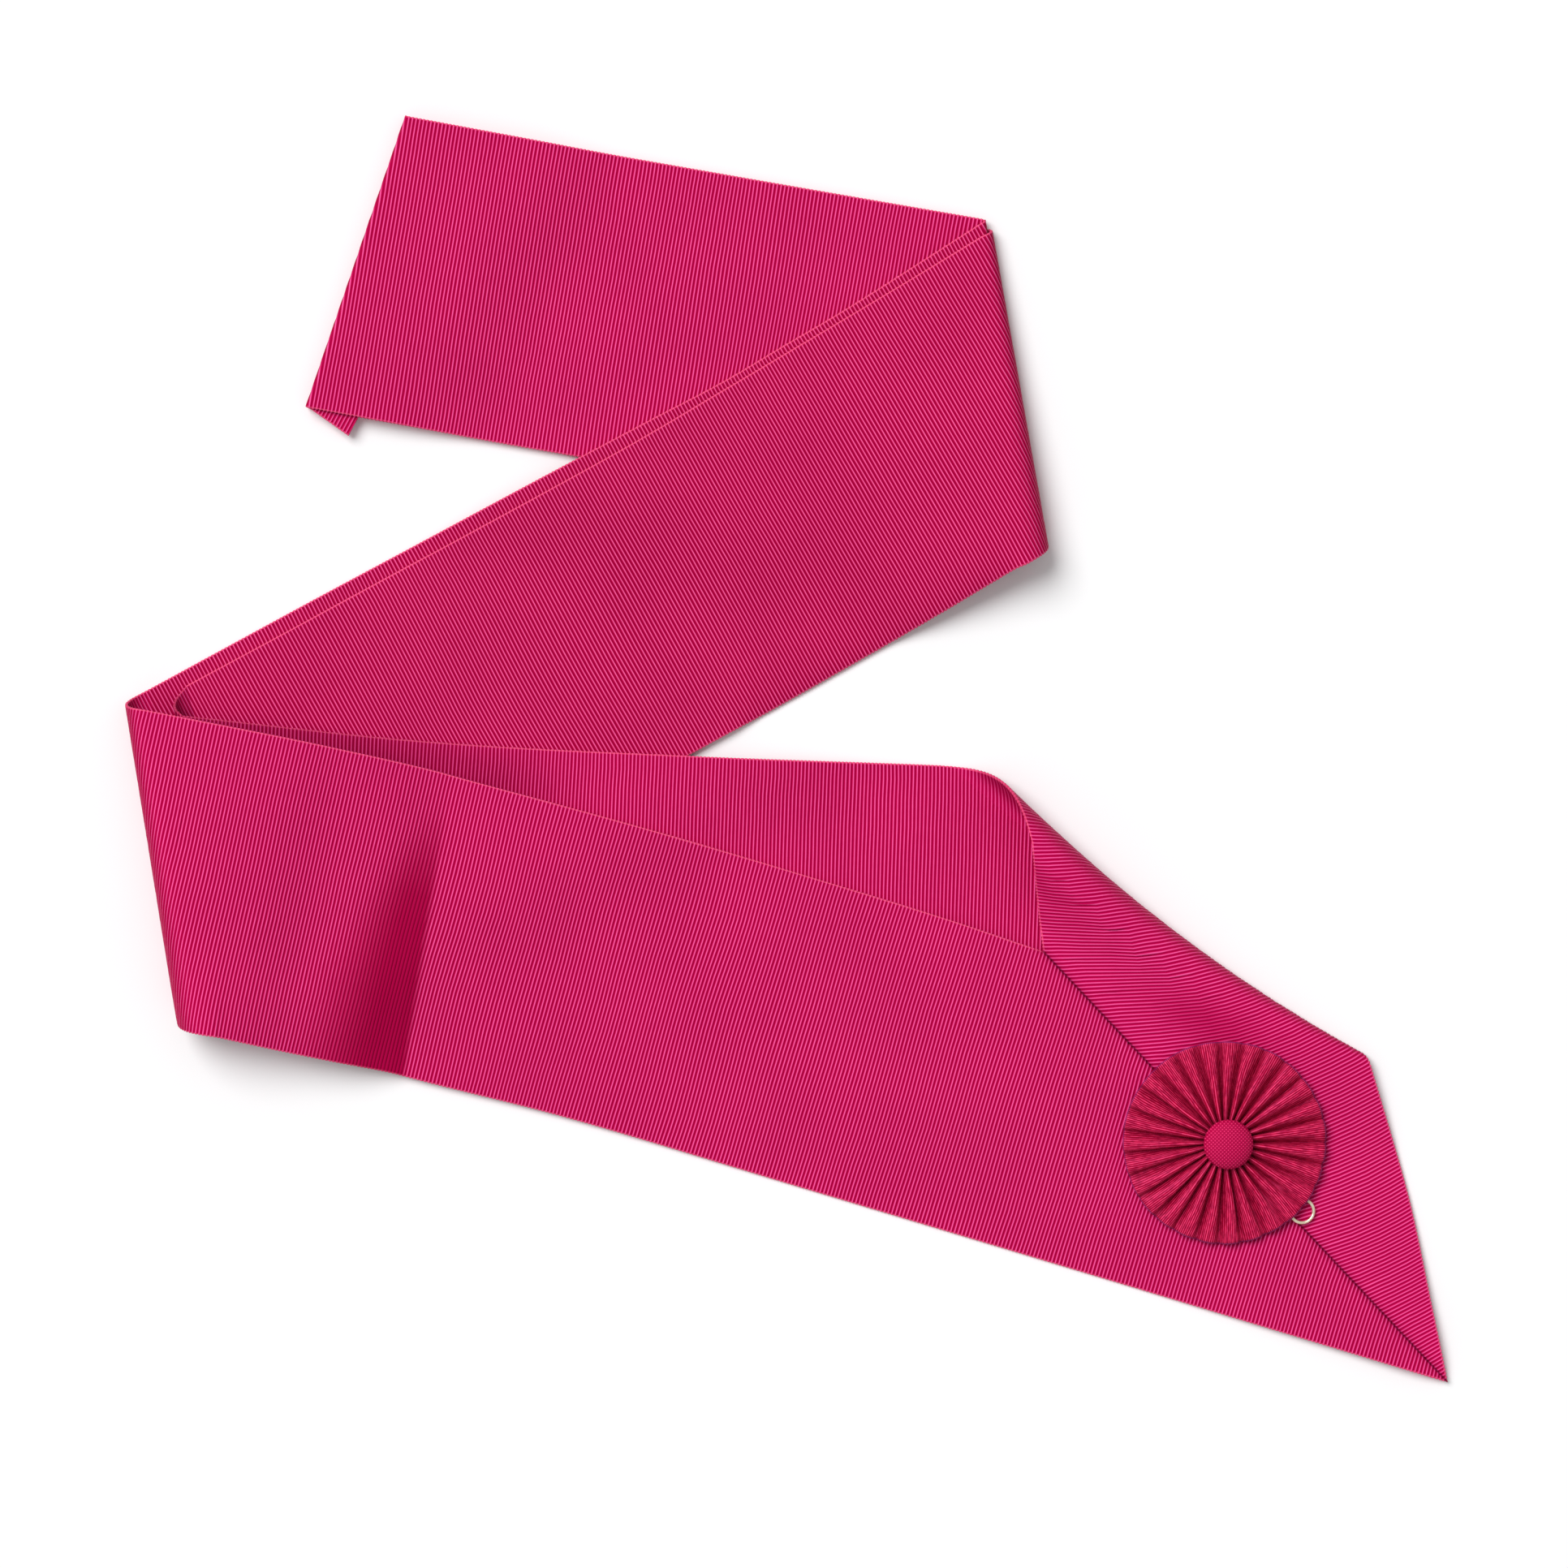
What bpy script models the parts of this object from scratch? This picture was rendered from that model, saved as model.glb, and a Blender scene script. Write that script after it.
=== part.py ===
# A sash: one long loop of wide ribbed ribbon, laid flat in a zigzag on a table.
# The two halves of the loop, front and back, join at the shoulder and in a pointed
# mitre at the hip, under a pleated rosette with a covered button and a small ring.
# Metres, +Z up, the table at z = 0 and the origin at the middle of the footprint.

import math
from collections import namedtuple

import bmesh
import bpy
import numpy as np
from mathutils import Vector
from mathutils.bvhtree import BVHTree

MM = 0.001

RIBBON_WIDTH = 0.100       # from selvedge to selvedge
WALL = 0.001               # thickness of the ribbon as modelled
LAYER_GAP = 0.0006         # air between two layers that lie on each other
JOIN_GAP = 0.0005          # air where one piece meets the next along the ribbon
SEAT_GAP = 0.0003          # air under what is sewn on
SPREAD = 0.008             # a layer stays raised this far past an edge beneath it
RAMP = 0.036               # and then comes down over this distance

STEP_ALONG = 0.0125        # size of the faces along the ribbon
FACES_ACROSS = 7           # and their number from selvedge to selvedge
ROLL_FACES = 8             # faces round the half turn of a fold
SHARP_ANGLE = 50           # degrees; a sharper edge is shown as an edge
PROBE = 0.0012             # the ribbon's height is looked up this far to each side too

ROSETTE_CENTRE = (0.1451, -0.1306)
ROSETTE_RADIUS = 0.0338
PLEATS = 27
FACES_PER_PLEAT = 5
PLEAT_HEIGHT = 0.0014      # the most, crest above trough
PLEAT_STEEPNESS = 80.0     # a narrow pleat is this many times its width squared high, in metres
HUB_CLEARANCE = 0.0004     # of the rosette's middle over the ribbon
PLEAT_LEAN = 0.22          # share of a pleat by which its crest leans over

BUTTON_CENTRE = (0.1462, -0.1311)
BUTTON_RADIUS = 0.00825
BUTTON_SHANK_RADIUS = 0.0034
BUTTON_RISE = 0.0042       # its underside, above the ribbon
BUTTON_EDGE = 0.0006       # height of its rounded rim
BUTTON_UNDERCUT = 0.0008   # the flat underside ends this far inside the rim
BUTTON_DOME = 0.0040       # height of the dome
BUTTON_FOOT = 0.0004       # of the shank, over the rosette's middle
BUTTON_SIDES = 24
DOME_FACES = 6

RING_CENTRE = (0.1710, -0.1535)
RING_RADIUS = 0.0039       # to the middle of the wire
RING_WIRE_RADIUS = 0.00053
RING_SIDES = 24
WIRE_SIDES = 8
STITCH_RADIUS = 0.0012
STITCH_HEIGHT = 0.0011
STITCH_SIDES = 12
RING_REACH = 0.006         # the ring lies clear of the ribbon all round this far from its middle

RIBBON_COLOUR = (0.48, 0.008, 0.10)
ROSETTE_COLOUR = (0.38, 0.006, 0.06)
GOLD_COLOUR = (0.80, 0.62, 0.34)

# The tables below are measured from a point that lies this far, in millimetres, from the
# middle of the finished footprint.
TABLE_SHIFT = (-0.3, -0.3)

# A section crosses the ribbon from edge A, its upper edge here, to edge B. Positions
# and lifts are in millimetres and angles in degrees: "toward" is the heading from A
# to B, "slant" says how far the section leans from square, "bow" how far its middle
# bends to the right of that heading. A lift is the height over the layers beneath.
Section = namedtuple("Section", "ax ay toward slant lift_a lift_b bow", defaults=(0, 0, 0))

BACK_SHOULDER = [
    Section(-125.7, 210.7, -108.9, 12.6),
    Section(65.2, 174.0, -82.8, 14.8),
]
FRONT_SHOULDER = [
    Section(-125.7, 210.7, -108.9, 12.6),
    Section(-74.7, 201.3, -99.7, 9.0),
    Section(-13.9, 190.6, -99.7, 8.0),
    Section(64.7, 177.0, -82.4, 18.6),
]
SHOULDER_ALLOWANCE = [
    Section(-125.7, 210.7, -108.9, 12.6),
    Section(-97.3, 195.6, -118.1, 14.3),
]
FRONT_DIAGONAL = [
    Section(-212.5, 20.4, -79.7, 18.4),
    Section(-148.4, 55.2, -62.1, 0),
    Section(-45.8, 109.8, -62.1, 0),
    Section(-20.0, 123.4, -61.5, 0),
    Section(-2.2, 134.0, -61.0, 0, 0, 0.6),
    Section(21.7, 148.1, -61.0, 0, 0, 2.6),
    Section(64.7, 175.4, -82.2, 22.2, 0.6, 3.4),
]
BACK_DIAGONAL = [
    Section(-199.7, 21.7, -76.0, 15.0),
    Section(-137.6, 55.2, -61.9, 0),
    Section(-52.5, 101.4, -60.9, 0),
    Section(-19.1, 121.0, -60.3, 6.0, 0, 0.3),
    Section(1.5, 133.1, -60.0, 7.0, 0, 5.0),
    Section(21.7, 145.0, -59.4, 7.0, 0.1, 9.3),
    Section(65.2, 171.0, -82.5, 25.2, 0.8, 10.5),
]
BACK_HIP = [
    Section(-200.2, 11.5, -74.4, 0, 5.7, 9.5),
    Section(-126.8, 3.6, -94.0, 0),
    Section(-32.3, -1.8, -92.9, 0),
    Section(40.6, -4.5, -91.5, 0),
    Section(54.5, -5.2, -35.4, 52.6, 0, 0, 4.5),
]
BACK_TURNED = [
    Section(80.9, -30.1, -33.4, 42.6, 14.0, 1.2, 7.0),
    Section(83.0, -48.7, -39.1, 51.4, 4.5, 0.2, 1.5),
    Section(84.4, -60.5, -44.3, 56.9),
    Section(85.2, -66.8, -46.8, 59.5),
]
FRONT_HIP = [
    Section(-212.5, 13.4, -77.9, 25.2, 9.1, 16.5),
    Section(-165.9, 4.2, -100.5, 10.1, 8.0, 15.0),
    Section(-145.7, -0.1, -102.9, 11.0, 5.0, 11.5),
    Section(-127.5, -4.2, -102.8, 10.5, 2.2, 9.0),
    Section(-114.5, -7.4, -99.9, 9.5, 0.2, 2.2),
    Section(-111.0, -8.4, -99.1, 9.9, 0, 0.3),
    Section(-45.8, -26.2, -106.2, 0),
    Section(35.2, -50.4, -107.0, 0),
    Section(85.2, -66.8, -46.8, 59.5),
]
HIP_ALLOWANCE = [
    Section(76.5, -75.0, -46.8, 54.7),
    Section(83.0, -68.9, -46.8, 58.6),
    Section(85.0, -67.0, -46.8, 59.2),
]

# Bottom to top. Each layer is carried over the edges of those named before it.
LAYERS = {
    "back_shoulder": BACK_SHOULDER,
    "back_allowance": SHOULDER_ALLOWANCE,
    "front_allowance": SHOULDER_ALLOWANCE,
    "front_shoulder": FRONT_SHOULDER,
    "front_diagonal": FRONT_DIAGONAL,
    "back_diagonal": BACK_DIAGONAL,
    "back_hip": BACK_HIP,
    "hip_allowance": HIP_ALLOWANCE,
    "back_turned": BACK_TURNED,
    "front_hip": FRONT_HIP,
}
MITRED = ("back_turned", "front_hip")     # these two meet edge to edge, not one on the other


def remove_all():
    for found in list(bpy.data.objects):
        bpy.data.objects.remove(found, do_unlink=True)


def cloth_material(name, colour, roughness, metallic=0.0, sheen=0.0):
    material = bpy.data.materials.new(name)
    material.use_nodes = True
    shader = material.node_tree.nodes["Principled BSDF"]
    shader.inputs["Base Color"].default_value = (*colour, 1.0)
    shader.inputs["Roughness"].default_value = roughness
    shader.inputs["Metallic"].default_value = metallic
    shader.inputs["Sheen Weight"].default_value = sheen
    return material


def add_object(name, bm, material):
    for face in bm.faces:
        face.smooth = True
    mesh = bpy.data.meshes.new(name)
    bm.to_mesh(mesh)
    bm.free()
    mesh.set_sharp_from_angle(angle=math.radians(SHARP_ANGLE))
    mesh.materials.append(material)
    placed = bpy.data.objects.new(name, mesh)
    bpy.context.scene.collection.objects.link(placed)
    return placed


def thicken(placed):
    solidify = placed.modifiers.new("wall", "SOLIDIFY")
    solidify.thickness = WALL
    solidify.offset = 0.0


def smoothstep(t):
    t = np.clip(t, 0.0, 1.0)
    return t * t * (3.0 - 2.0 * t)


def ends_of(section):
    """Edge A, edge B, the two lifts and the bow, in metres."""
    a = (np.array([section.ax, section.ay]) + TABLE_SHIFT) * MM
    heading = math.radians(section.toward)
    along = np.array([math.cos(heading), math.sin(heading)])
    b = a + along * RIBBON_WIDTH / math.cos(math.radians(section.slant))
    return a, b, section.lift_a * MM, section.lift_b * MM, section.bow * MM


def slopes(places, values, limited):
    """Slope at each row of a table, for a cubic through its values. Limited ones never overshoot."""
    steps = np.diff(values) / np.diff(places)
    inner = []
    for before, after in zip(steps[:-1], steps[1:]):
        if not limited:
            inner.append((before + after) / 2)
        elif before * after <= 0:
            inner.append(0.0)
        else:
            inner.append(2 * before * after / (before + after))
    return np.array([0.0 if limited else steps[0], *inner, 0.0 if limited else steps[-1]])


def cubic(places, values, wanted, limited):
    slope = slopes(places, values, limited)
    row = np.clip(np.searchsorted(places, wanted, side="right") - 1, 0, len(places) - 2)
    width = places[row + 1] - places[row]
    t = (wanted - places[row]) / width
    rise = values[row] * (1 + 2 * t) * (1 - t) ** 2 + values[row + 1] * t * t * (3 - 2 * t)
    lean = slope[row] * t * (1 - t) ** 2 - slope[row + 1] * t * t * (1 - t)
    return rise + width * lean


def plan(rows, step=STEP_ALONG, across=FACES_ACROSS):
    """Sections along a stretch, smooth through its table: plan points and lifts, section by section."""
    ends = [ends_of(row) for row in rows]
    table = np.array([[*a, *b, lift_a, lift_b, bow] for a, b, lift_a, lift_b, bow in ends])
    middles = (table[:, 0:2] + table[:, 2:4]) / 2
    places = np.concatenate([[0.0], np.cumsum(np.linalg.norm(np.diff(middles, axis=0), axis=1))])
    wanted = [0.0]
    for row in range(len(rows) - 1):
        here, there = table[row], table[row + 1]
        reach = max(math.dist(here[0:2], there[0:2]), math.dist(here[2:4], there[2:4]))
        parts = max(2, round(reach / step))
        wanted.extend(np.linspace(places[row], places[row + 1], parts + 1)[1:])
    wanted = np.array(wanted)
    columns = [cubic(places, table[:, i], wanted, limited=i > 3) for i in range(7)]
    a, b = np.stack(columns[0:2], 1), np.stack(columns[2:4], 1)
    lift_a, lift_b, bow = columns[4:7]
    v = np.linspace(0.0, 1.0, across + 1)
    line = b - a
    right = np.stack([line[:, 1], -line[:, 0]], 1) / np.linalg.norm(line, axis=1)[:, None]
    points = a[:, None] + line[:, None] * v[None, :, None]
    points += (right * bow[:, None])[:, None] * (4 * v * (1 - v))[None, :, None]
    lifts = lift_a[:, None] * (1 - v) + lift_b[:, None] * v
    return points, lifts


def outline_of(rows):
    points, _ = plan(rows)
    return np.concatenate([points[:, 0], points[-1, 1:-1], points[::-1, -1], points[0, -2:0:-1]])


def depth_inside(points, outline):
    """Distance from each point to an outline, positive inside it and negative outside."""
    start, end = outline, np.roll(outline, -1, axis=0)
    line = end - start
    length = np.maximum((line ** 2).sum(1), 1e-12)
    offset = points[:, None] - start[None]
    t = np.clip((offset * line).sum(2) / length, 0.0, 1.0)
    distance = np.linalg.norm(offset - t[..., None] * line, axis=2).min(1)
    x, y = points[:, 0, None], points[:, 1, None]
    straddles = (start[:, 1] > y) != (end[:, 1] > y)
    rise = np.where(line[:, 1] == 0, 1e-12, line[:, 1])
    crosses = straddles & (x < start[:, 0] + (y - start[:, 1]) / rise * line[:, 0])
    inside = crosses.sum(1) % 2 == 1
    return np.where(inside, distance, -distance)


OUTLINES = {name: outline_of(rows) for name, rows in LAYERS.items()}


def heights(name, points, lifts):
    """Height of the middle of the wall: the layers beneath, each fading past its edge, and the lift."""
    flat = points.reshape(-1, 2)
    height = np.full(len(flat), WALL / 2)
    for other, outline in OUTLINES.items():
        if other == name:
            break
        if name in MITRED and other in MITRED:
            continue
        past = -depth_inside(flat, outline) - SPREAD
        height += (WALL + LAYER_GAP) * smoothstep(1.0 - past / RAMP)
    return height.reshape(points.shape[:2]) + lifts


def surface(name):
    """The sections of one stretch as points in space, from its first row to its last."""
    points, lifts = plan(LAYERS[name])
    return np.concatenate([points, heights(name, points, lifts)[..., None]], axis=2)


def drawn_back(sections, last, gap=JOIN_GAP):
    """Move the first or the last section back by a gap, away from the piece that it meets."""
    sections = sections.copy()
    end, inner = (-1, -2) if last else (0, 1)
    line = sections[end, -1, :2] - sections[end, 0, :2]
    normal = np.array([line[1], -line[0]]) / np.linalg.norm(line)
    if ((sections[inner, :, :2] - sections[end, :, :2]).mean(0) * normal).sum() < 0:
        normal = -normal
    sections[end, :, :2] += normal * gap
    return sections


def roll(lower, upper, side):
    """The half turn of a fold, from one section up to another: side 1 bulges right of A to B, -1 left."""
    line = (lower[-1] + upper[-1] - lower[0] - upper[0])[:2]
    outward = side * np.array([line[1], -line[0]]) / np.linalg.norm(line)
    radius = (upper[:, 2] - lower[:, 2]) / 2
    turned = []
    for k in range(ROLL_FACES + 1):
        share = k / ROLL_FACES
        angle = math.pi * (share - 0.5)
        section = lower + (upper - lower) * share
        section[:, :2] += outward * radius[:, None] * math.cos(angle)
        section[:, 2] = lower[:, 2] + radius * (1 + math.sin(angle))
        turned.append(section)
    return np.array(turned)


def ribbon(name, sections, material):
    """A strip of wall through the sections, each a row of points from edge A to edge B."""
    bm = bmesh.new()
    rows, across = sections.shape[:2]
    bmesh.ops.create_grid(bm, x_segments=rows - 1, y_segments=across - 1, size=0.5)
    for vert in bm.verts:
        row = round((vert.co.x + 0.5) * (rows - 1))
        place = round((vert.co.y + 0.5) * (across - 1))
        vert.co = Vector(sections[row, place])
    placed = add_object(name, bm, material)
    thicken(placed)
    return placed


def shoulder_bands(silk):
    """Front and back end at the shoulder: both turn under there, seam allowance against seam allowance."""
    back = surface("back_shoulder")
    back_turn = surface("back_allowance")
    front = surface("front_shoulder")
    front_turn = surface("front_allowance")
    back_roll = roll(back[0], back_turn[0], side=1)
    front_roll = roll(front_turn[0], front[0], side=1)
    back = drawn_back(back, last=True)
    front = drawn_back(front, last=True)
    ribbon("back_shoulder_band", np.concatenate([back[::-1], back_roll[1:-1], back_turn]), silk)
    ribbon("front_shoulder_band", np.concatenate([front_turn[::-1], front_roll[1:-1], front]), silk)


def diagonals(silk):
    """The two slanting stretches, each with the fold on its right, where it turns under."""
    for half, last_step in (("front", "front_shoulder"), ("back", "back_shoulder")):
        name = half + "_diagonal"
        upper = surface(name)
        lower_end = surface(last_step)[-1]
        turn = roll(lower_end, upper[-1], side=-1)[::-1]
        ribbon(name, np.concatenate([drawn_back(upper, last=False), turn[1:]]), silk)


def hip_bands(silk):
    """The two stretches that run to the hip, each with the fold on its left."""
    for half in ("front", "back"):
        upper = surface(half + "_hip")
        lower_end = surface(half + "_diagonal")[0]
        turn = roll(lower_end, upper[0], side=1)
        gap = JOIN_GAP / 2 if half == "front" else JOIN_GAP
        upper = drawn_back(upper, last=True, gap=gap)
        ribbon(half + "_hip_band", np.concatenate([turn[:-1], upper]), silk)


def turned_end(silk):
    """The back half rolls over on itself and meets the front in the slanting hip seam."""
    upper = surface("back_turned")
    turn = roll(surface("back_hip")[-1], upper[0], side=-1)
    upper = drawn_back(upper, last=True, gap=JOIN_GAP / 2)
    ribbon("back_turned_end", np.concatenate([turn[:-1], upper]), silk)


def hip_allowance(silk):
    """The trimmed ends under the hip seam, pressed to one side. Their corner shows past the edge."""
    ribbon("hip_seam_allowance", surface("hip_allowance"), silk)


def tree_over(names):
    graph = bpy.context.evaluated_depsgraph_get()
    bm = bmesh.new()
    for name in names:
        evaluated = bpy.data.objects[name].evaluated_get(graph)
        mesh = evaluated.to_mesh()
        bm.from_mesh(mesh)
        evaluated.to_mesh_clear()
    tree = BVHTree.FromBMesh(bm)
    bm.free()
    return tree


def top_of(tree, x, y):
    """Height of the ribbon under a point, looked up a little to each side too, so a seam doesn't count."""
    down = Vector((0, 0, -1))
    found = []
    for dx, dy in ((0, 0), (PROBE, 0), (-PROBE, 0), (0, PROBE), (0, -PROBE)):
        hit = tree.ray_cast(Vector((x + dx, y + dy, 0.1)), down)[0]
        if hit:
            found.append(hit.z)
    return max(found)


def pleat_wave(turn):
    """Height of a leaning pleat over one turn of its phase: 0 in the trough, 1 on the crest."""
    phase = turn % 1.0
    crest = 0.5 + PLEAT_LEAN
    share = phase / crest if phase < crest else (1 - phase) / (1 - crest)
    return share * share * (3 - 2 * share)


def rosette(silk, tree):
    """Knife pleats round a hub that is sewn down on the seam, made from the ribbon's own height."""
    cx, cy = ROSETTE_CENTRE
    rings = (   # radius and clearance over the ribbon in millimetres, share of the pleats' height
        (4.5, HUB_CLEARANCE / MM, 0.0),
        (9.0, 2.0, 1.0),
        (15.0, 2.4, 1.0),
        (24.0, 2.1, 1.0),
        (ROSETTE_RADIUS / MM, 1.9, 0.8),
    )
    around = PLEATS * FACES_PER_PLEAT
    bm = bmesh.new()
    hub = bm.verts.new((cx, cy, top_of(tree, cx, cy) + HUB_CLEARANCE + WALL / 2))
    before = None
    for radius, clearance, share in rings:
        pitch = 2 * math.pi * radius / PLEATS
        height = min(PLEAT_HEIGHT, PLEAT_STEEPNESS * (pitch * MM) ** 2) * share
        ring = []
        for k in range(around):
            angle = 2 * math.pi * k / around
            x = cx + radius * MM * math.cos(angle)
            y = cy + radius * MM * math.sin(angle)
            base = top_of(tree, x, y) + clearance * MM + WALL / 2
            ring.append(bm.verts.new((x, y, base + height * pleat_wave(k / FACES_PER_PLEAT))))
        for k in range(around):
            nxt = (k + 1) % around
            if before:
                bm.faces.new((before[k], ring[k], ring[nxt], before[nxt]))
            elif k % FACES_PER_PLEAT == 0:
                corners = [ring[(k + i) % around] for i in range(FACES_PER_PLEAT + 1)]
                bm.faces.new((hub, *corners))
        before = ring
    thicken(add_object("rosette", bm, silk))


def turned(name, profile, centre, sides, material):
    """A solid of revolution about the vertical, from (radius, height) pairs that start and end on it."""
    bm = bmesh.new()
    verts = [bm.verts.new((radius, 0, z)) for radius, z in profile]
    edges = [bm.edges.new(pair) for pair in zip(verts[:-1], verts[1:])]
    bmesh.ops.spin(bm, geom=verts + edges, cent=(0, 0, 0), axis=(0, 0, 1), angle=2 * math.pi,
                   steps=sides, use_merge=True, use_duplicate=False)
    bmesh.ops.remove_doubles(bm, verts=bm.verts, dist=1e-6)
    bmesh.ops.recalc_face_normals(bm, faces=bm.faces)
    placed = add_object(name, bm, material)
    placed.location = centre
    return placed


def button(silk, tree):
    x, y = BUTTON_CENTRE
    under = []
    for k in range(8):
        angle = math.pi / 4 * k
        reach_x, reach_y = BUTTON_SHANK_RADIUS * math.cos(angle), BUTTON_SHANK_RADIUS * math.sin(angle)
        under.append(top_of(tree, x + reach_x, y + reach_y))
    foot = HUB_CLEARANCE + WALL + BUTTON_FOOT
    rim = BUTTON_RISE + BUTTON_EDGE
    profile = [(0, foot), (BUTTON_SHANK_RADIUS, foot), (BUTTON_SHANK_RADIUS, BUTTON_RISE)]
    profile.append((BUTTON_RADIUS - BUTTON_UNDERCUT, BUTTON_RISE))
    for k in range(DOME_FACES):
        angle = math.pi / 2 * k / DOME_FACES
        profile.append((BUTTON_RADIUS * math.cos(angle), rim + BUTTON_DOME * math.sin(angle)))
    profile.append((0, rim + BUTTON_DOME))
    turned("rosette_button", profile, (x, y, max(under)), BUTTON_SIDES, silk)


def ring_and_stitch(gold, silk, tree):
    """The ring hangs from a stitch between ribbon and rosette, and turns about it, flat on the ribbon."""
    reach = RING_RADIUS - RING_WIRE_RADIUS - STITCH_RADIUS - SEAT_GAP
    toward = Vector(ROSETTE_CENTRE) - Vector(RING_CENTRE)
    stitch = Vector(RING_CENTRE) + toward.normalized() * reach
    steps = np.linspace(-1.0, 0.5, 4) * RING_REACH
    floor = max(top_of(tree, RING_CENTRE[0] + dx, RING_CENTRE[1] - dy) for dx in steps for dy in steps)
    bm = bmesh.new()
    middle = Vector((RING_CENTRE[0] - stitch.x, RING_CENTRE[1] - stitch.y, 0))
    start = middle + Vector((RING_RADIUS, 0, 0))
    made = bmesh.ops.create_circle(bm, cap_ends=False, radius=RING_WIRE_RADIUS, segments=WIRE_SIDES)
    for vert in made["verts"]:
        vert.co = start + Vector((vert.co.x, 0, vert.co.y))
    bmesh.ops.spin(bm, geom=bm.verts[:] + bm.edges[:], cent=middle, axis=(0, 0, 1),
                   angle=2 * math.pi, steps=RING_SIDES, use_merge=True, use_duplicate=False)
    bmesh.ops.remove_doubles(bm, verts=bm.verts, dist=1e-6)
    bmesh.ops.recalc_face_normals(bm, faces=bm.faces)
    ring = add_object("badge_ring", bm, gold)
    ring.location = (stitch.x, stitch.y, floor + SEAT_GAP + RING_WIRE_RADIUS)
    profile = [(0, 0), (STITCH_RADIUS, 0), (STITCH_RADIUS, STITCH_HEIGHT), (0, STITCH_HEIGHT)]
    turned("ring_stitch", profile, (stitch.x, stitch.y, floor + SEAT_GAP), STITCH_SIDES, silk)


def main():
    remove_all()
    silk = cloth_material("ribbon", RIBBON_COLOUR, 0.55, sheen=0.3)
    rosette_silk = cloth_material("rosette", ROSETTE_COLOUR, 0.6, sheen=0.3)
    gold = cloth_material("ring", GOLD_COLOUR, 0.3, metallic=1.0)
    shoulder_bands(silk)
    diagonals(silk)
    hip_bands(silk)
    hip_allowance(silk)
    turned_end(silk)
    bpy.context.view_layer.update()
    tree = tree_over(("front_hip_band", "back_turned_end"))
    rosette(rosette_silk, tree)
    button(rosette_silk, tree)
    ring_and_stitch(gold, silk, tree)


main()
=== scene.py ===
import math

import bmesh
import bpy
import numpy as np
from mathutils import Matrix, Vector
from mathutils.bvhtree import BVHTree


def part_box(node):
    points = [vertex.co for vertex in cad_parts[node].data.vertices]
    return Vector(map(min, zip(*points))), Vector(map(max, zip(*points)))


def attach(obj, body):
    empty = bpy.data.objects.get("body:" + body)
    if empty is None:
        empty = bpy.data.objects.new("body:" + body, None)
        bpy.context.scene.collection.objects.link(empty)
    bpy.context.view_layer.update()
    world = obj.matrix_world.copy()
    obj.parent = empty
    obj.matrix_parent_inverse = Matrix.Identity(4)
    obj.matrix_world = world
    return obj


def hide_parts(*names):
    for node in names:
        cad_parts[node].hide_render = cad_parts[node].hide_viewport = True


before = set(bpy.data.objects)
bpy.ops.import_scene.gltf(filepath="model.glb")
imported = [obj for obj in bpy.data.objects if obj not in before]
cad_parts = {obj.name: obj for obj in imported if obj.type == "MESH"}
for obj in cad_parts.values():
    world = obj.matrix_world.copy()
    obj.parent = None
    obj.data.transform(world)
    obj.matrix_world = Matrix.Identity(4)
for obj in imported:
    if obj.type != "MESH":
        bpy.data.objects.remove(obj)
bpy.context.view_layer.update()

mm = 0.001

# The ribbon as cut, and how its layers lie on each other. Metres.
cloth = dict(width=0.100, wall=0.001, layerGap=0.0006, spread=0.008, ramp=0.036,
             shift=(-0.3, -0.3),        # of the tables below, in millimetres
             ribPitch=0.00126, crest=0.00098, groove=0.00038)

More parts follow.
